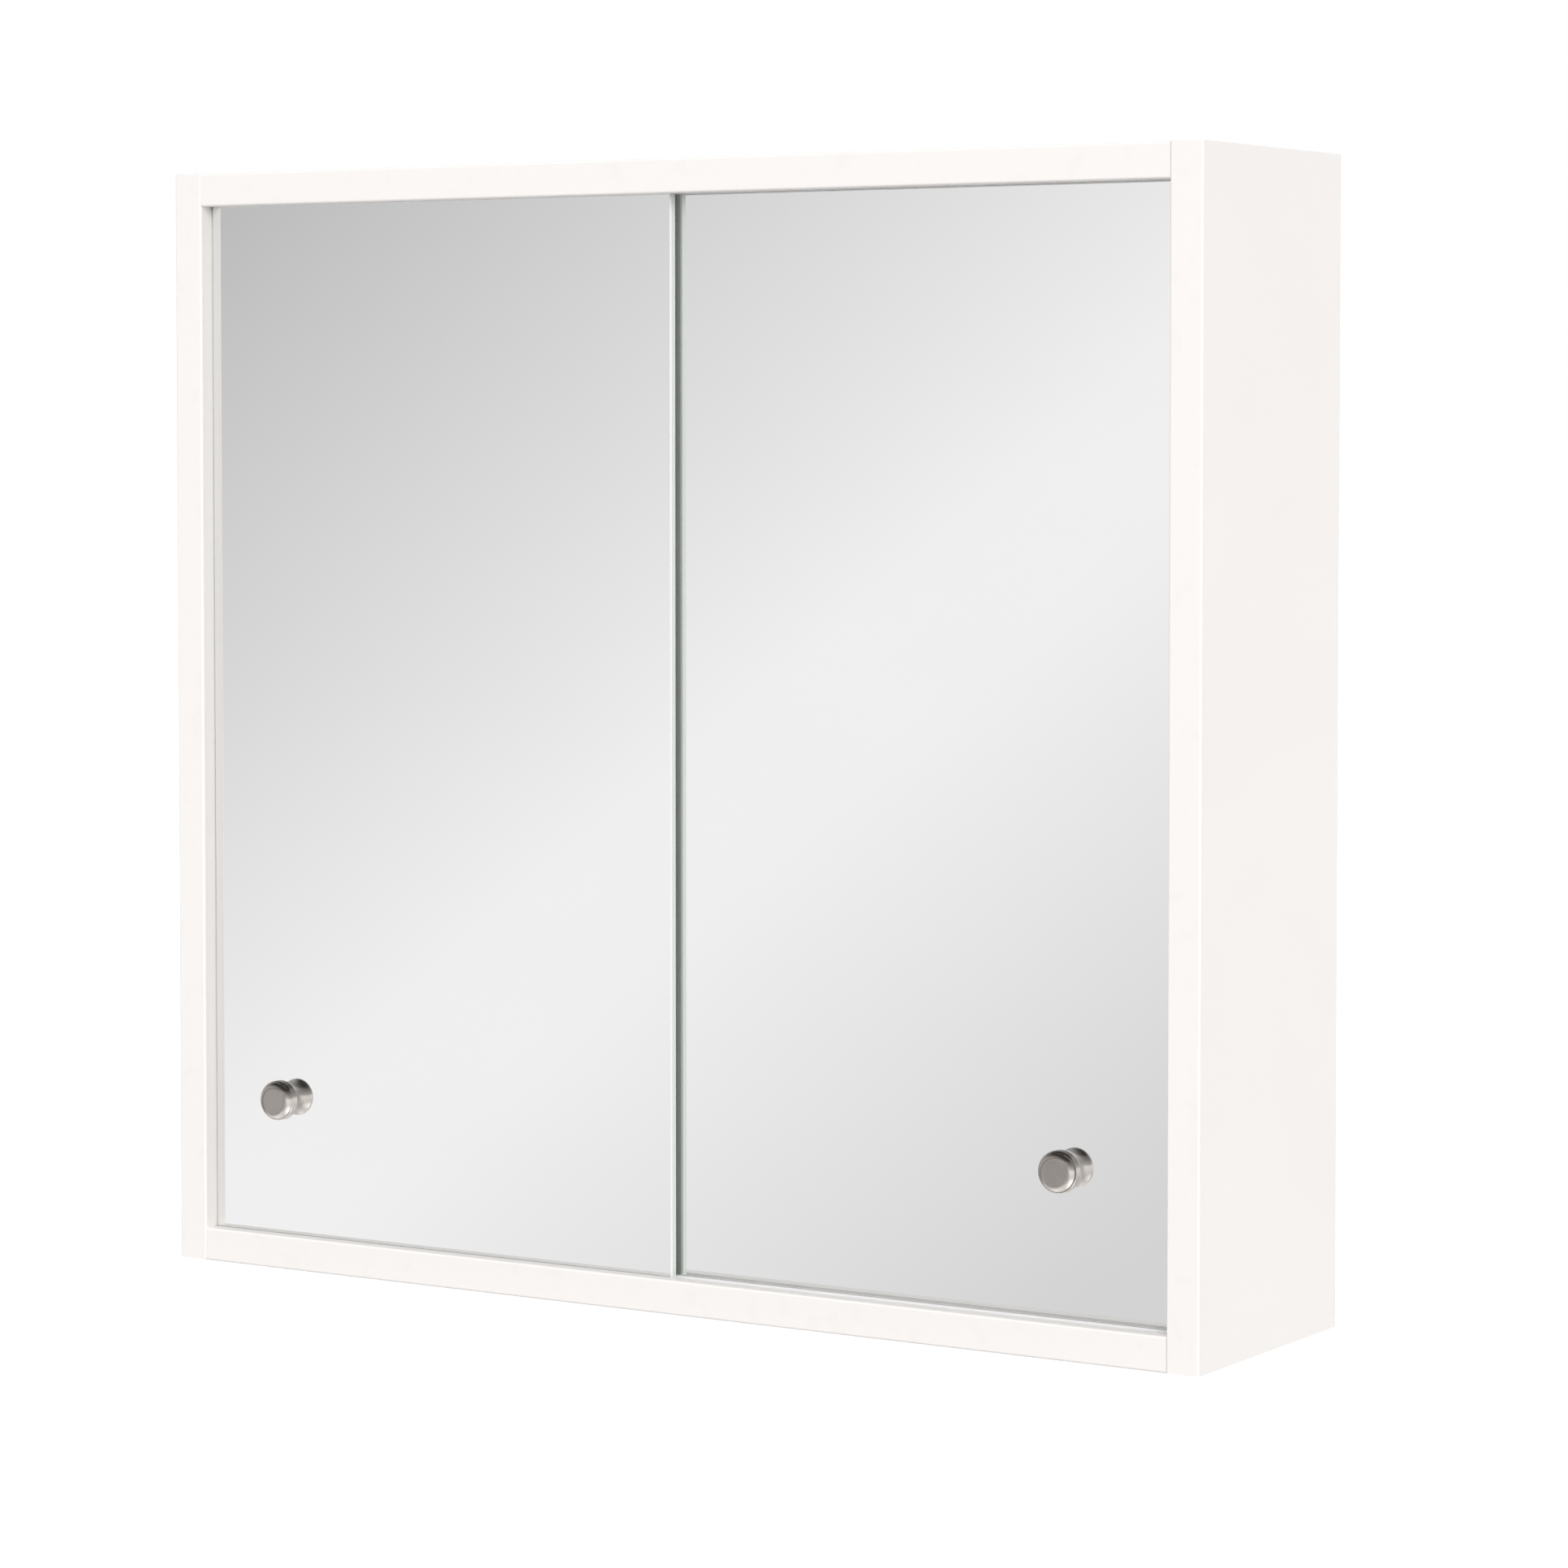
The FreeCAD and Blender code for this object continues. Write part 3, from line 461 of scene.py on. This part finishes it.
def pane_outline(low, high, inset):
    """Points round a pane seen from the front, with small round corners, as many at every inset."""
    corners = ((high.x, high.z), (low.x, high.z), (low.x, low.z), (high.x, low.z))
    reach = PANE_CORNER - inset
    middle_x = (low.x + high.x) / 2
    middle_z = (low.z + high.z) / 2
    points = []
    for turns, (x, z) in enumerate(corners):
        pivot_x = x - math.copysign(PANE_CORNER, x - middle_x)
        pivot_z = z - math.copysign(PANE_CORNER, z - middle_z)
        for step in range(CORNER_STEPS + 1):
            angle = QUARTER_TURN * (turns + step / CORNER_STEPS)
            points.append((pivot_x + reach * math.cos(angle), pivot_z + reach * math.sin(angle)))
    return points


def mirror_pane(name, node, body, finishes):
    """A silvered pane with ground edges, in the place of its plain solid."""
    low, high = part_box(node)
    rings = ((low.y, ARRIS), (low.y + ARRIS, 0.0), (high.y - ARRIS, 0.0), (high.y, ARRIS))
    shape = bmesh.new()
    loops = []
    for depth, inset in rings:
        loops.append([shape.verts.new((x, depth, z)) for x, z in pane_outline(low, high, inset)])
    count = len(loops[0])
    for front, rear in zip(loops, loops[1:]):
        for here in range(count):
            there = (here + 1) % count
            shape.faces.new((front[here], front[there], rear[there], rear[here])).material_index = 1
    shape.faces.new(loops[0]).material_index = 0
    shape.faces.new(loops[-1]).material_index = 2
    bmesh.ops.recalc_face_normals(shape, faces=shape.faces)
    mesh = bpy.data.meshes.new(name)
    shape.to_mesh(mesh)
    shape.free()
    for finish in finishes:
        mesh.materials.append(finish)
    pane = bpy.data.objects.new(name, mesh)
    bpy.context.scene.collection.objects.link(pane)
    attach(pane, body)
    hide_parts(node)


class SolidTree:
    """A geometry tree that grows one solid upward from a flat face and sets a copy of it at each place."""

    def __init__(self, name, sizes, counts=()):
        self.tree = bpy.data.node_groups.new(name, "GeometryNodeTree")
        sockets = self.tree.interface
        sockets.new_socket("Places", in_out="INPUT", socket_type="NodeSocketGeometry")
        for label in sizes:
            sockets.new_socket(label, in_out="INPUT", socket_type="NodeSocketFloat")
        for label in counts:
            sockets.new_socket(label, in_out="INPUT", socket_type="NodeSocketInt")
        sockets.new_socket("Finish", in_out="INPUT", socket_type="NodeSocketMaterial")
        sockets.new_socket("Solids", in_out="OUTPUT", socket_type="NodeSocketGeometry")
        self.given = self.add("NodeGroupInput").outputs

    def add(self, kind, inputs=None, **settings):
        return add(self.tree, kind, inputs, **settings)

    def math(self, operation, first, second):
        return combine(self.tree, operation, first, second)

    def start_round(self, radius):
        """Begins with a round face."""
        inputs = {"Vertices": ROUND_SIDES, "Radius": radius}
        self.start(self.add("GeometryNodeMeshCircle", inputs, fill_type="NGON").outputs["Mesh"], radius)

    def start_fluted(self, radius, depth, flutes):
        """Begins with a face whose edge is fluted."""
        inner = self.math("SUBTRACT", radius, depth)
        inputs = {"Points": flutes, "Inner Radius": inner, "Outer Radius": radius}
        star = self.add("GeometryNodeCurveStar", inputs).outputs["Curve"]
        self.start(self.add("GeometryNodeFillCurve", {"Curve": star}, mode="NGONS").outputs["Mesh"], radius)

    def start(self, face, radius):
        self.foot = face
        self.mesh = face
        self.top = True
        self.radius = radius

    def lift(self, length, radius):
        """Lifts the top face by a length and brings it to a radius."""
        inputs = {"Mesh": self.mesh, "Selection": self.top, "Offset Scale": length, "Individual": False}
        raised = self.add("GeometryNodeExtrudeMesh", inputs).outputs
        self.top = raised["Top"]
        scale = self.math("DIVIDE", radius, self.radius)
        inputs = {"Geometry": raised["Mesh"], "Selection": self.top, "Scale": scale}
        self.mesh = self.add("GeometryNodeScaleElements", inputs).outputs["Geometry"]
        self.radius = radius

    def lift_thread(self, turns, pitch, root):
        """Lifts the top face through turns of thread, each down to the root and back."""
        crest = self.radius
        half = self.math("MULTIPLY", pitch, 0.5)
        first = self.add("GeometryNodeRepeatInput")
        last = self.add("GeometryNodeRepeatOutput")
        first.pair_with_output(last)
        last.repeat_items.new("BOOLEAN", "Top")
        for source, name in ((turns, "Iterations"), (self.mesh, "Geometry"), (self.top, "Top")):
            self.tree.links.new(source, first.inputs[name])
        self.mesh = first.outputs["Geometry"]
        self.top = first.outputs["Top"]
        self.lift(half, root)
        self.lift(half, crest)
        for source, name in ((self.mesh, "Geometry"), (self.top, "Top")):
            self.tree.links.new(source, last.inputs[name])
        self.mesh = last.outputs["Geometry"]
        self.top = last.outputs["Top"]

    def finish(self):
        """Closes the solid, sets a copy at each place with its top toward the facing and finishes it."""
        foot = self.add("GeometryNodeFlipFaces", {"Mesh": self.foot}).outputs["Mesh"]
        whole = self.add("GeometryNodeJoinGeometry")
        for part in (foot, self.mesh):
            self.tree.links.new(part, whole.inputs["Geometry"])
        inputs = {"Geometry": whole.outputs["Geometry"], "Distance": WELD}
        closed = self.add("GeometryNodeMergeByDistance", inputs).outputs["Geometry"]
        soft = self.add("GeometryNodeSetShadeSmooth", {"Geometry": closed}).outputs["Geometry"]
        angle = self.add("GeometryNodeInputMeshEdgeAngle").outputs["Unsigned Angle"]
        sharp = self.math("GREATER_THAN", angle, CREASE)
        inputs = {"Geometry": soft, "Selection": sharp, "Shade Smooth": False}
        solid = self.add("GeometryNodeSetShadeSmooth", inputs, domain="EDGE").outputs["Geometry"]
        facing = self.add("GeometryNodeInputNamedAttribute", {"Name": "facing"}, data_type="FLOAT_VECTOR")
        inputs = {"Vector": facing.outputs["Attribute"]}
        turn = self.add("FunctionNodeAlignRotationToVector", inputs, axis="Z").outputs["Rotation"]
        inputs = {"Points": self.given["Places"], "Instance": solid, "Rotation": turn}
        copies = self.add("GeometryNodeInstanceOnPoints", inputs).outputs["Instances"]
        real = self.add("GeometryNodeRealizeInstances", {"Geometry": copies}).outputs["Geometry"]
        inputs = {"Geometry": real, "Name": "facing"}
        plain = self.add("GeometryNodeRemoveAttribute", inputs).outputs["Geometry"]
        inputs = {"Geometry": plain, "Material": self.given["Finish"]}
        done = self.add("GeometryNodeSetMaterial", inputs).outputs["Geometry"]
        self.add("NodeGroupOutput", {"Solids": done})
        return self.tree


def dowel_tree():
    """A fluted wooden dowel with a chamfer at each end."""
    solid = SolidTree("fluted dowel", ("Length", "Radius", "Chamfer", "Flute depth"), ("Flutes",))
    given = solid.given
    tip = solid.math("SUBTRACT", given["Radius"], given["Chamfer"])
    barrel = solid.math("SUBTRACT", given["Length"], solid.math("MULTIPLY", given["Chamfer"], 2.0))
    solid.start_fluted(tip, given["Flute depth"], given["Flutes"])
    solid.lift(given["Chamfer"], given["Radius"])
    solid.lift(barrel, given["Radius"])
    solid.lift(given["Chamfer"], tip)
    return solid.finish()


def bolt_tree():
    """A cam bolt from its head to its threaded end."""
    lengths = ("Length", "Head", "Neck", "Thread", "Chamfer", "Thread pitch")
    radii = ("Radius", "Neck radius", "Thread radius", "Thread root")
    solid = SolidTree("cam bolt", lengths + radii, ("Turns",))
    given = solid.given
    bevel = solid.math("SUBTRACT", given["Radius"], given["Chamfer"])
    head = solid.math("SUBTRACT", given["Head"], given["Chamfer"])
    ends = solid.math("ADD", solid.math("ADD", given["Head"], given["Neck"]), given["Thread"])
    shank = solid.math("SUBTRACT", solid.math("SUBTRACT", given["Length"], ends), given["Chamfer"])
    threaded = solid.math("MULTIPLY", given["Thread pitch"], given["Turns"])
    point = solid.math("SUBTRACT", given["Thread"], threaded)
    solid.start_round(bevel)
    solid.lift(given["Chamfer"], given["Radius"])
    solid.lift(head, given["Radius"])
    solid.lift(0.0, given["Neck radius"])
    solid.lift(given["Neck"], given["Neck radius"])
    solid.lift(0.0, given["Radius"])
    solid.lift(shank, given["Radius"])
    solid.lift(given["Chamfer"], bevel)
    solid.lift(0.0, given["Thread radius"])
    solid.lift_thread(given["Turns"], given["Thread pitch"], given["Thread root"])
    solid.lift(point, solid.math("MULTIPLY", given["Thread root"], THREAD_POINT))
    return solid.finish()


def pin_tree():
    """A shelf pin from the peg under the shelf, over its collar, to the shank in the side panel."""
    lengths = ("Length", "Shank", "Collar", "Chamfer", "Collar edge")
    solid = SolidTree("shelf pin", lengths + ("Radius", "Collar radius"))
    given = solid.given
    tip = solid.math("SUBTRACT", given["Radius"], given["Chamfer"])
    edge = solid.math("SUBTRACT", given["Collar radius"], given["Collar edge"])
    rim = solid.math("SUBTRACT", given["Collar"], solid.math("MULTIPLY", given["Collar edge"], 2.0))
    root = solid.math("ADD", solid.math("ADD", given["Shank"], given["Collar"]), given["Chamfer"])
    solid.start_round(tip)
    solid.lift(given["Chamfer"], given["Radius"])
    solid.lift(solid.math("SUBTRACT", given["Length"], root), given["Radius"])
    solid.lift(0.0, edge)
    solid.lift(given["Collar edge"], given["Collar radius"])
    solid.lift(rim, given["Collar radius"])
    solid.lift(given["Collar edge"], edge)
    solid.lift(0.0, given["Radius"])
    solid.lift(solid.math("SUBTRACT", given["Shank"], given["Chamfer"]), given["Radius"])
    solid.lift(given["Chamfer"], tip)
    return solid.finish()


def bumper_tree():
    """A soft bumper: a short straight rim and a dome."""
    solid = SolidTree("domed bumper", ("Height", "Rim", "Radius"))
    given = solid.given
    rise = solid.math("SUBTRACT", given["Height"], given["Rim"])
    solid.start_round(given["Radius"])
    solid.lift(given["Rim"], given["Radius"])
    angles = [math.pi / 2 * step / DOME_STEPS for step in range(DOME_STEPS + 1)]
    for before, after in zip(angles, angles[1:]):
        length = solid.math("MULTIPLY", rise, math.sin(after) - math.sin(before))
        width = max(math.cos(after), DOME_TIP)
        solid.lift(length, solid.math("MULTIPLY", given["Radius"], width))
    return solid.finish()


def solid_boxes(*names):
    """The low and high corner of every separate solid of some CAD nodes."""
    boxes = []
    for name in names:
        shape = bmesh.new()
        shape.from_mesh(nodes[name].data)
        bmesh.ops.remove_doubles(shape, verts=shape.verts, dist=WELD)
        left = set(shape.verts)
        for first in shape.verts:
            if first not in left:
                continue
            left.remove(first)
            edge = [first]
            solid = []
            while edge:
                corner = edge.pop()
                solid.append(corner.co.copy())
                near = {link.other_vert(corner) for link in corner.link_edges} & left
                left -= near
                edge.extend(near)
            low = Vector(min(place[axis] for place in solid) for axis in range(3))
            high = Vector(max(place[axis] for place in solid) for axis in range(3))
            boxes.append((low, high))
        shape.free()
    return boxes


def lying_round(box):
    """The length and the radius of a round solid that lies along X, from its box."""
    low, high = box
    return high.x - low.x, (high.z - low.z) / 2


def end_places(boxes, outward):
    """The middle of one end of each solid and the way to its other end, out from or in to the middle."""
    places = []
    for low, high in boxes:
        middle = (low + high) / 2
        side = math.copysign(1.0, middle.x)
        facing = side if outward else -side
        end_x = low.x if facing > 0 else high.x
        places.append((Vector((end_x, middle.y, middle.z)), Vector((facing, 0.0, 0.0))))
    return places


def set_solids(name, tree, places, values, slot, *replaced):
    """Runs a geometry tree over its places and keeps the plain mesh that it makes."""
    points = bpy.data.meshes.new(f"{name}_places")
    points.from_pydata([place for place, facing in places], [], [])
    facings = points.attributes.new("facing", "FLOAT_VECTOR", "POINT")
    facings.data.foreach_set("vector", [value for place, facing in places for value in facing])
    piece = bpy.data.objects.new(name, points)
    bpy.context.scene.collection.objects.link(piece)
    maker = piece.modifiers.new("solids", "NODES")
    maker.node_group = tree
    for socket in tree.interface.items_tree:
        if socket.in_out == "INPUT" and socket.name in values:
            maker[socket.identifier] = values[socket.name]
    graph = bpy.context.evaluated_depsgraph_get()
    mesh = bpy.data.meshes.new_from_object(piece.evaluated_get(graph), depsgraph=graph)
    piece.modifiers.remove(maker)
    piece.data = mesh
    mesh.name = name
    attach(piece, "cabinet")
    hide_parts(*replaced)


def set_fastenings():
    """Dowels, cam bolts, shelf pins and bumpers with their small forms, in the place of plain solids."""
    dowels = ("carcass_dowels", "rail_dowels")
    boxes = solid_boxes(*dowels)
    length, radius = lying_round(boxes[0])
    sizes = {"Length": length, "Radius": radius, "Chamfer": DOWEL_CHAMFER,
             "Flute depth": FLUTE_DEPTH, "Flutes": DOWEL_FLUTES, "Finish": beech("plain beech")}
    set_solids("fluted_dowels", dowel_tree(), end_places(boxes, True), sizes, "beech", *dowels)

    zinc = plated_metal("bright zinc plate", ZINC_PLATE, ZINC_PLATE_ROUGHNESS, ZINC_PLATE_GRAIN)
    boxes = solid_boxes("cam_bolts")
    length, radius = lying_round(boxes[0])
    sizes = {"Length": length, "Radius": radius, "Head": BOLT_HEAD, "Neck": BOLT_NECK,
             "Neck radius": BOLT_NECK_RADIUS, "Chamfer": BOLT_CHAMFER, "Thread": THREAD_LENGTH,
             "Thread radius": THREAD_RADIUS, "Thread root": THREAD_ROOT, "Thread pitch": THREAD_PITCH,
             "Turns": THREAD_TURNS, "Finish": zinc}
    set_solids("threaded_cam_bolts", bolt_tree(), end_places(boxes, True), sizes, "zinc_plate", "cam_bolts")

    pins = ("lower_shelf_pins", "upper_shelf_pins")
    boxes = solid_boxes(*pins)
    length, radius = lying_round(boxes[0])
    sizes = {"Length": length, "Shank": PIN_SHANK, "Collar": PIN_COLLAR, "Chamfer": PIN_CHAMFER,
             "Collar edge": COLLAR_EDGE, "Radius": PIN_RADIUS, "Collar radius": radius, "Finish": zinc}
    set_solids("turned_shelf_pins", pin_tree(), end_places(boxes, True), sizes, "zinc_plate", *pins)

    bumpers = ("left_door_bumpers", "right_door_bumpers")
    boxes = solid_boxes(*bumpers)
    height, radius = lying_round(boxes[0])
    sizes = {"Height": height, "Radius": radius, "Rim": BUMPER_RIM,
             "Finish": clear_bumper("clear bumper polymer")}
    set_solids("domed_bumpers", bumper_tree(), end_places(boxes, False), sizes, "bumper_rubber", *bumpers)


def dress(finish, *names):
    """Gives CAD nodes their finish."""
    for name in names:
        mesh = nodes[name].data
        mesh.materials.clear()
        mesh.materials.append(finish)


def dress_cabinet():
    """Gives the pieces that keep their own solids their finish, and leaves the knobs out of reflections."""
    low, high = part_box("bottom_panel")
    boards = ("left_side_panel", "right_side_panel", "top_panel", "bottom_panel")
    dress(foil_board("white foil board", low.y, high.y), *boards)
    low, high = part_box("lower_shelf")
    dress(foil_board("white foil shelf", low.y), "lower_shelf", "upper_shelf")
    dress(foil_board("white foil rail"), "hanging_rail")
    low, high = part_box("back_panel")
    dress(hardboard("lacquered hardboard", high.y), "back_panel")
    dress(track_plastic("drawn white plastic"), "top_track", "bottom_track")
    for side in ("left", "right"):
        low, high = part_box(f"{side}_knob")
        middle = (low + high) / 2
        dress(turned_nickel(f"turned nickel {side}", middle.x, middle.z), f"{side}_knob")
        for name in (f"{side}_knob", f"{side}_knob_pad"):
            nodes[name].visible_glossy = False
    dress(plated_metal("die-cast zinc", CAST_ZINC, CAST_ZINC_ROUGHNESS, CAST_ZINC_GRAIN), "cam_locks")
    dress(foam_and_painted_shade("bonding foam"), "left_knob_pad", "right_knob_pad")


def make_floor():
    """A pale floor under the cabinet that keeps its soft shadow."""
    half = FLOOR_SIDE / 2
    mesh = bpy.data.meshes.new("floor")
    sides = ((-half, -half), (half, -half), (half, half), (-half, half))
    mesh.from_pydata([(x, y, cad_low.z) for x, y in sides], [], [(0, 1, 2, 3)])
    material = bpy.data.materials.new("pale floor")
    material.use_nodes = True
    tree = material.node_tree
    tree.nodes.clear()
    path = add(tree, "ShaderNodeLightPath").outputs
    paint = add(tree, "ShaderNodeBsdfDiffuse", {"Color": FLOOR_COLOUR}).outputs[0]
    seen = combine(tree, "MAXIMUM", path["Is Camera Ray"], path["Is Transmission Ray"])
    shown = combine(tree, "MULTIPLY", seen, FLOOR_GLOW)
    glow = add(tree, "ShaderNodeEmission", {"Strength": shown}).outputs[0]
    both = add(tree, "ShaderNodeAddShader", {0: paint, 1: glow}).outputs[0]
    add(tree, "ShaderNodeOutputMaterial", {"Surface": both})
    mesh.materials.append(material)
    floor = bpy.data.objects.new("floor", mesh)
    floor.visible_glossy = False
    bpy.context.scene.collection.objects.link(floor)


def sweep_colour(tree, direction, camera):
    """Grey levels along a slanting sweep that the camera sees in the panes."""
    right, up = (camera.matrix_world.to_3x3() @ Vector(axis) for axis in ((1, 0, 0), (0, 1, 0)))
    mirrored = Vector((1, -1, 1))
    slope = mirrored * (right * math.cos(SWEEP_SLANT) - up * math.sin(SWEEP_SLANT))
    inputs = {0: direction, 1: slope}
    along = add(tree, "ShaderNodeVectorMath", inputs, operation="DOT_PRODUCT").outputs["Value"]
    share = remap(tree, along, (-SWEEP_REACH, SWEEP_REACH), 0.0, 1.0)
    ramp = add(tree, "ShaderNodeValToRGB", {"Fac": share})
    stops = ramp.color_ramp.elements
    while len(stops) < len(SWEEP_LEVELS):
        # A new stop waits in the middle until it gets its own place
        stops.new(0.5)
    for stop, (slant, level) in zip(stops, SWEEP_LEVELS):
        stop.position = (slant + SWEEP_REACH) / (2 * SWEEP_REACH)
        stop.color = grey(level)
    return ramp.outputs["Color"]


def sweep_strength(tree, direction, path):
    """Dims the ceiling and lifts the ground and the right side, except in what a pane itself reflects."""
    ways = add(tree, "ShaderNodeSeparateXYZ", {0: direction}).outputs
    ceiling = remap(tree, ways["Z"], CEILING_HEIGHTS, 1.0, CEILING_LEVEL)
    ground = remap(tree, ways["Z"], GROUND_HEIGHTS, 1.0, GROUND_LEVEL)
    right = remap(tree, ways["X"], LIT_SIDES, 1.0, LIT_LEVEL)
    low_right = remap(tree, ways["Z"], LIT_HEIGHTS, right, 1.0)
    level = combine(tree, "MULTIPLY", combine(tree, "MULTIPLY", ceiling, ground), low_right)
    first = combine(tree, "LESS_THAN", path["Glossy Depth"], ONE_BOUNCE)
    from_pane = combine(tree, "MULTIPLY", path["Is Singular Ray"], first)
    return remap(tree, from_pane, (0.0, 1.0), level, 1.0)


def make_room(camera):
    """Even light and a white background all round, and the sweep where polished faces reflect it."""
    world = bpy.data.worlds.new("white room")
    world.use_nodes = True
    tree = world.node_tree
    tree.nodes.clear()
    direction = add(tree, "ShaderNodeTexCoord").outputs["Generated"]
    path = add(tree, "ShaderNodeLightPath").outputs

    def sky(colour, strength):
        return add(tree, "ShaderNodeBackground", {"Color": colour, "Strength": strength}).outputs[0]

    sweep = sky(sweep_colour(tree, direction, camera), sweep_strength(tree, direction, path))
    even = sky(grey(1.0), remap(tree, path["Is Glossy Ray"], (0.0, 1.0), ROOM_LIGHT, MIRROR_LIGHT))
    seen = combine(tree, "MAXIMUM", path["Is Camera Ray"], path["Is Transmission Ray"])
    lit = add(tree, "ShaderNodeMixShader", {0: seen, 1: even, 2: sky(grey(1.0), 1.0)}).outputs[0]
    direct = combine(tree, "LESS_THAN", path["Diffuse Depth"], NO_BOUNCE)
    polished = combine(tree, "MULTIPLY", path["Is Glossy Ray"], direct)
    shown = add(tree, "ShaderNodeMixShader", {0: polished, 1: lit, 2: sweep}).outputs[0]
    add(tree, "ShaderNodeOutputWorld", {"Surface": shown})
    bpy.context.scene.world = world


def make_key():
    """One large soft lamp in front of the cabinet, above and to the right."""
    lamp = bpy.data.lights.new("key", "AREA")
    lamp.size = KEY_SIDE
    lamp.energy = KEY_POWER
    key = bpy.data.objects.new("key", lamp)
    level = math.cos(KEY_RISE)
    way = Vector((math.sin(KEY_TURN) * level, -math.cos(KEY_TURN) * level, math.sin(KEY_RISE)))
    key.location = (cad_low + cad_high) / 2 + way * KEY_DISTANCE
    key.rotation_euler = way.to_track_quat("Z", "Y").to_euler()
    key.visible_glossy = False
    bpy.context.scene.collection.objects.link(key)


def make_camera():
    """The photograph's camera: a long lens from the right, a little above the cabinet's middle."""
    lens = bpy.data.cameras.new("camera")
    lens.sensor_width = SENSOR
    lens.lens = SENSOR * CAMERA_FOCUS_PIXELS / PHOTO_SIDE
    lens.shift_y = CAMERA_SHIFT
    camera = bpy.data.objects.new("camera", lens)
    camera.location = CAMERA_PLACE
    camera.rotation_euler = (math.pi / 2 - CAMERA_TILT, 0.0, CAMERA_TURN)
    bpy.context.scene.collection.objects.link(camera)
    bpy.context.scene.camera = camera
    bpy.context.view_layer.update()
    return camera


bpy.context.scene.view_settings.view_transform = "Standard"
make_room(make_camera())
make_key()
make_floor()
dress_cabinet()
set_fastenings()
face = silvering("silvered glass")
edge = ground_glass("ground glass edge")
back = backing_paint("mirror backing paint")
for side in ("left", "right"):
    mirror_pane(f"{side}_mirror_pane", f"{side}_mirror_door", f"{side}_door", (face, edge, back))
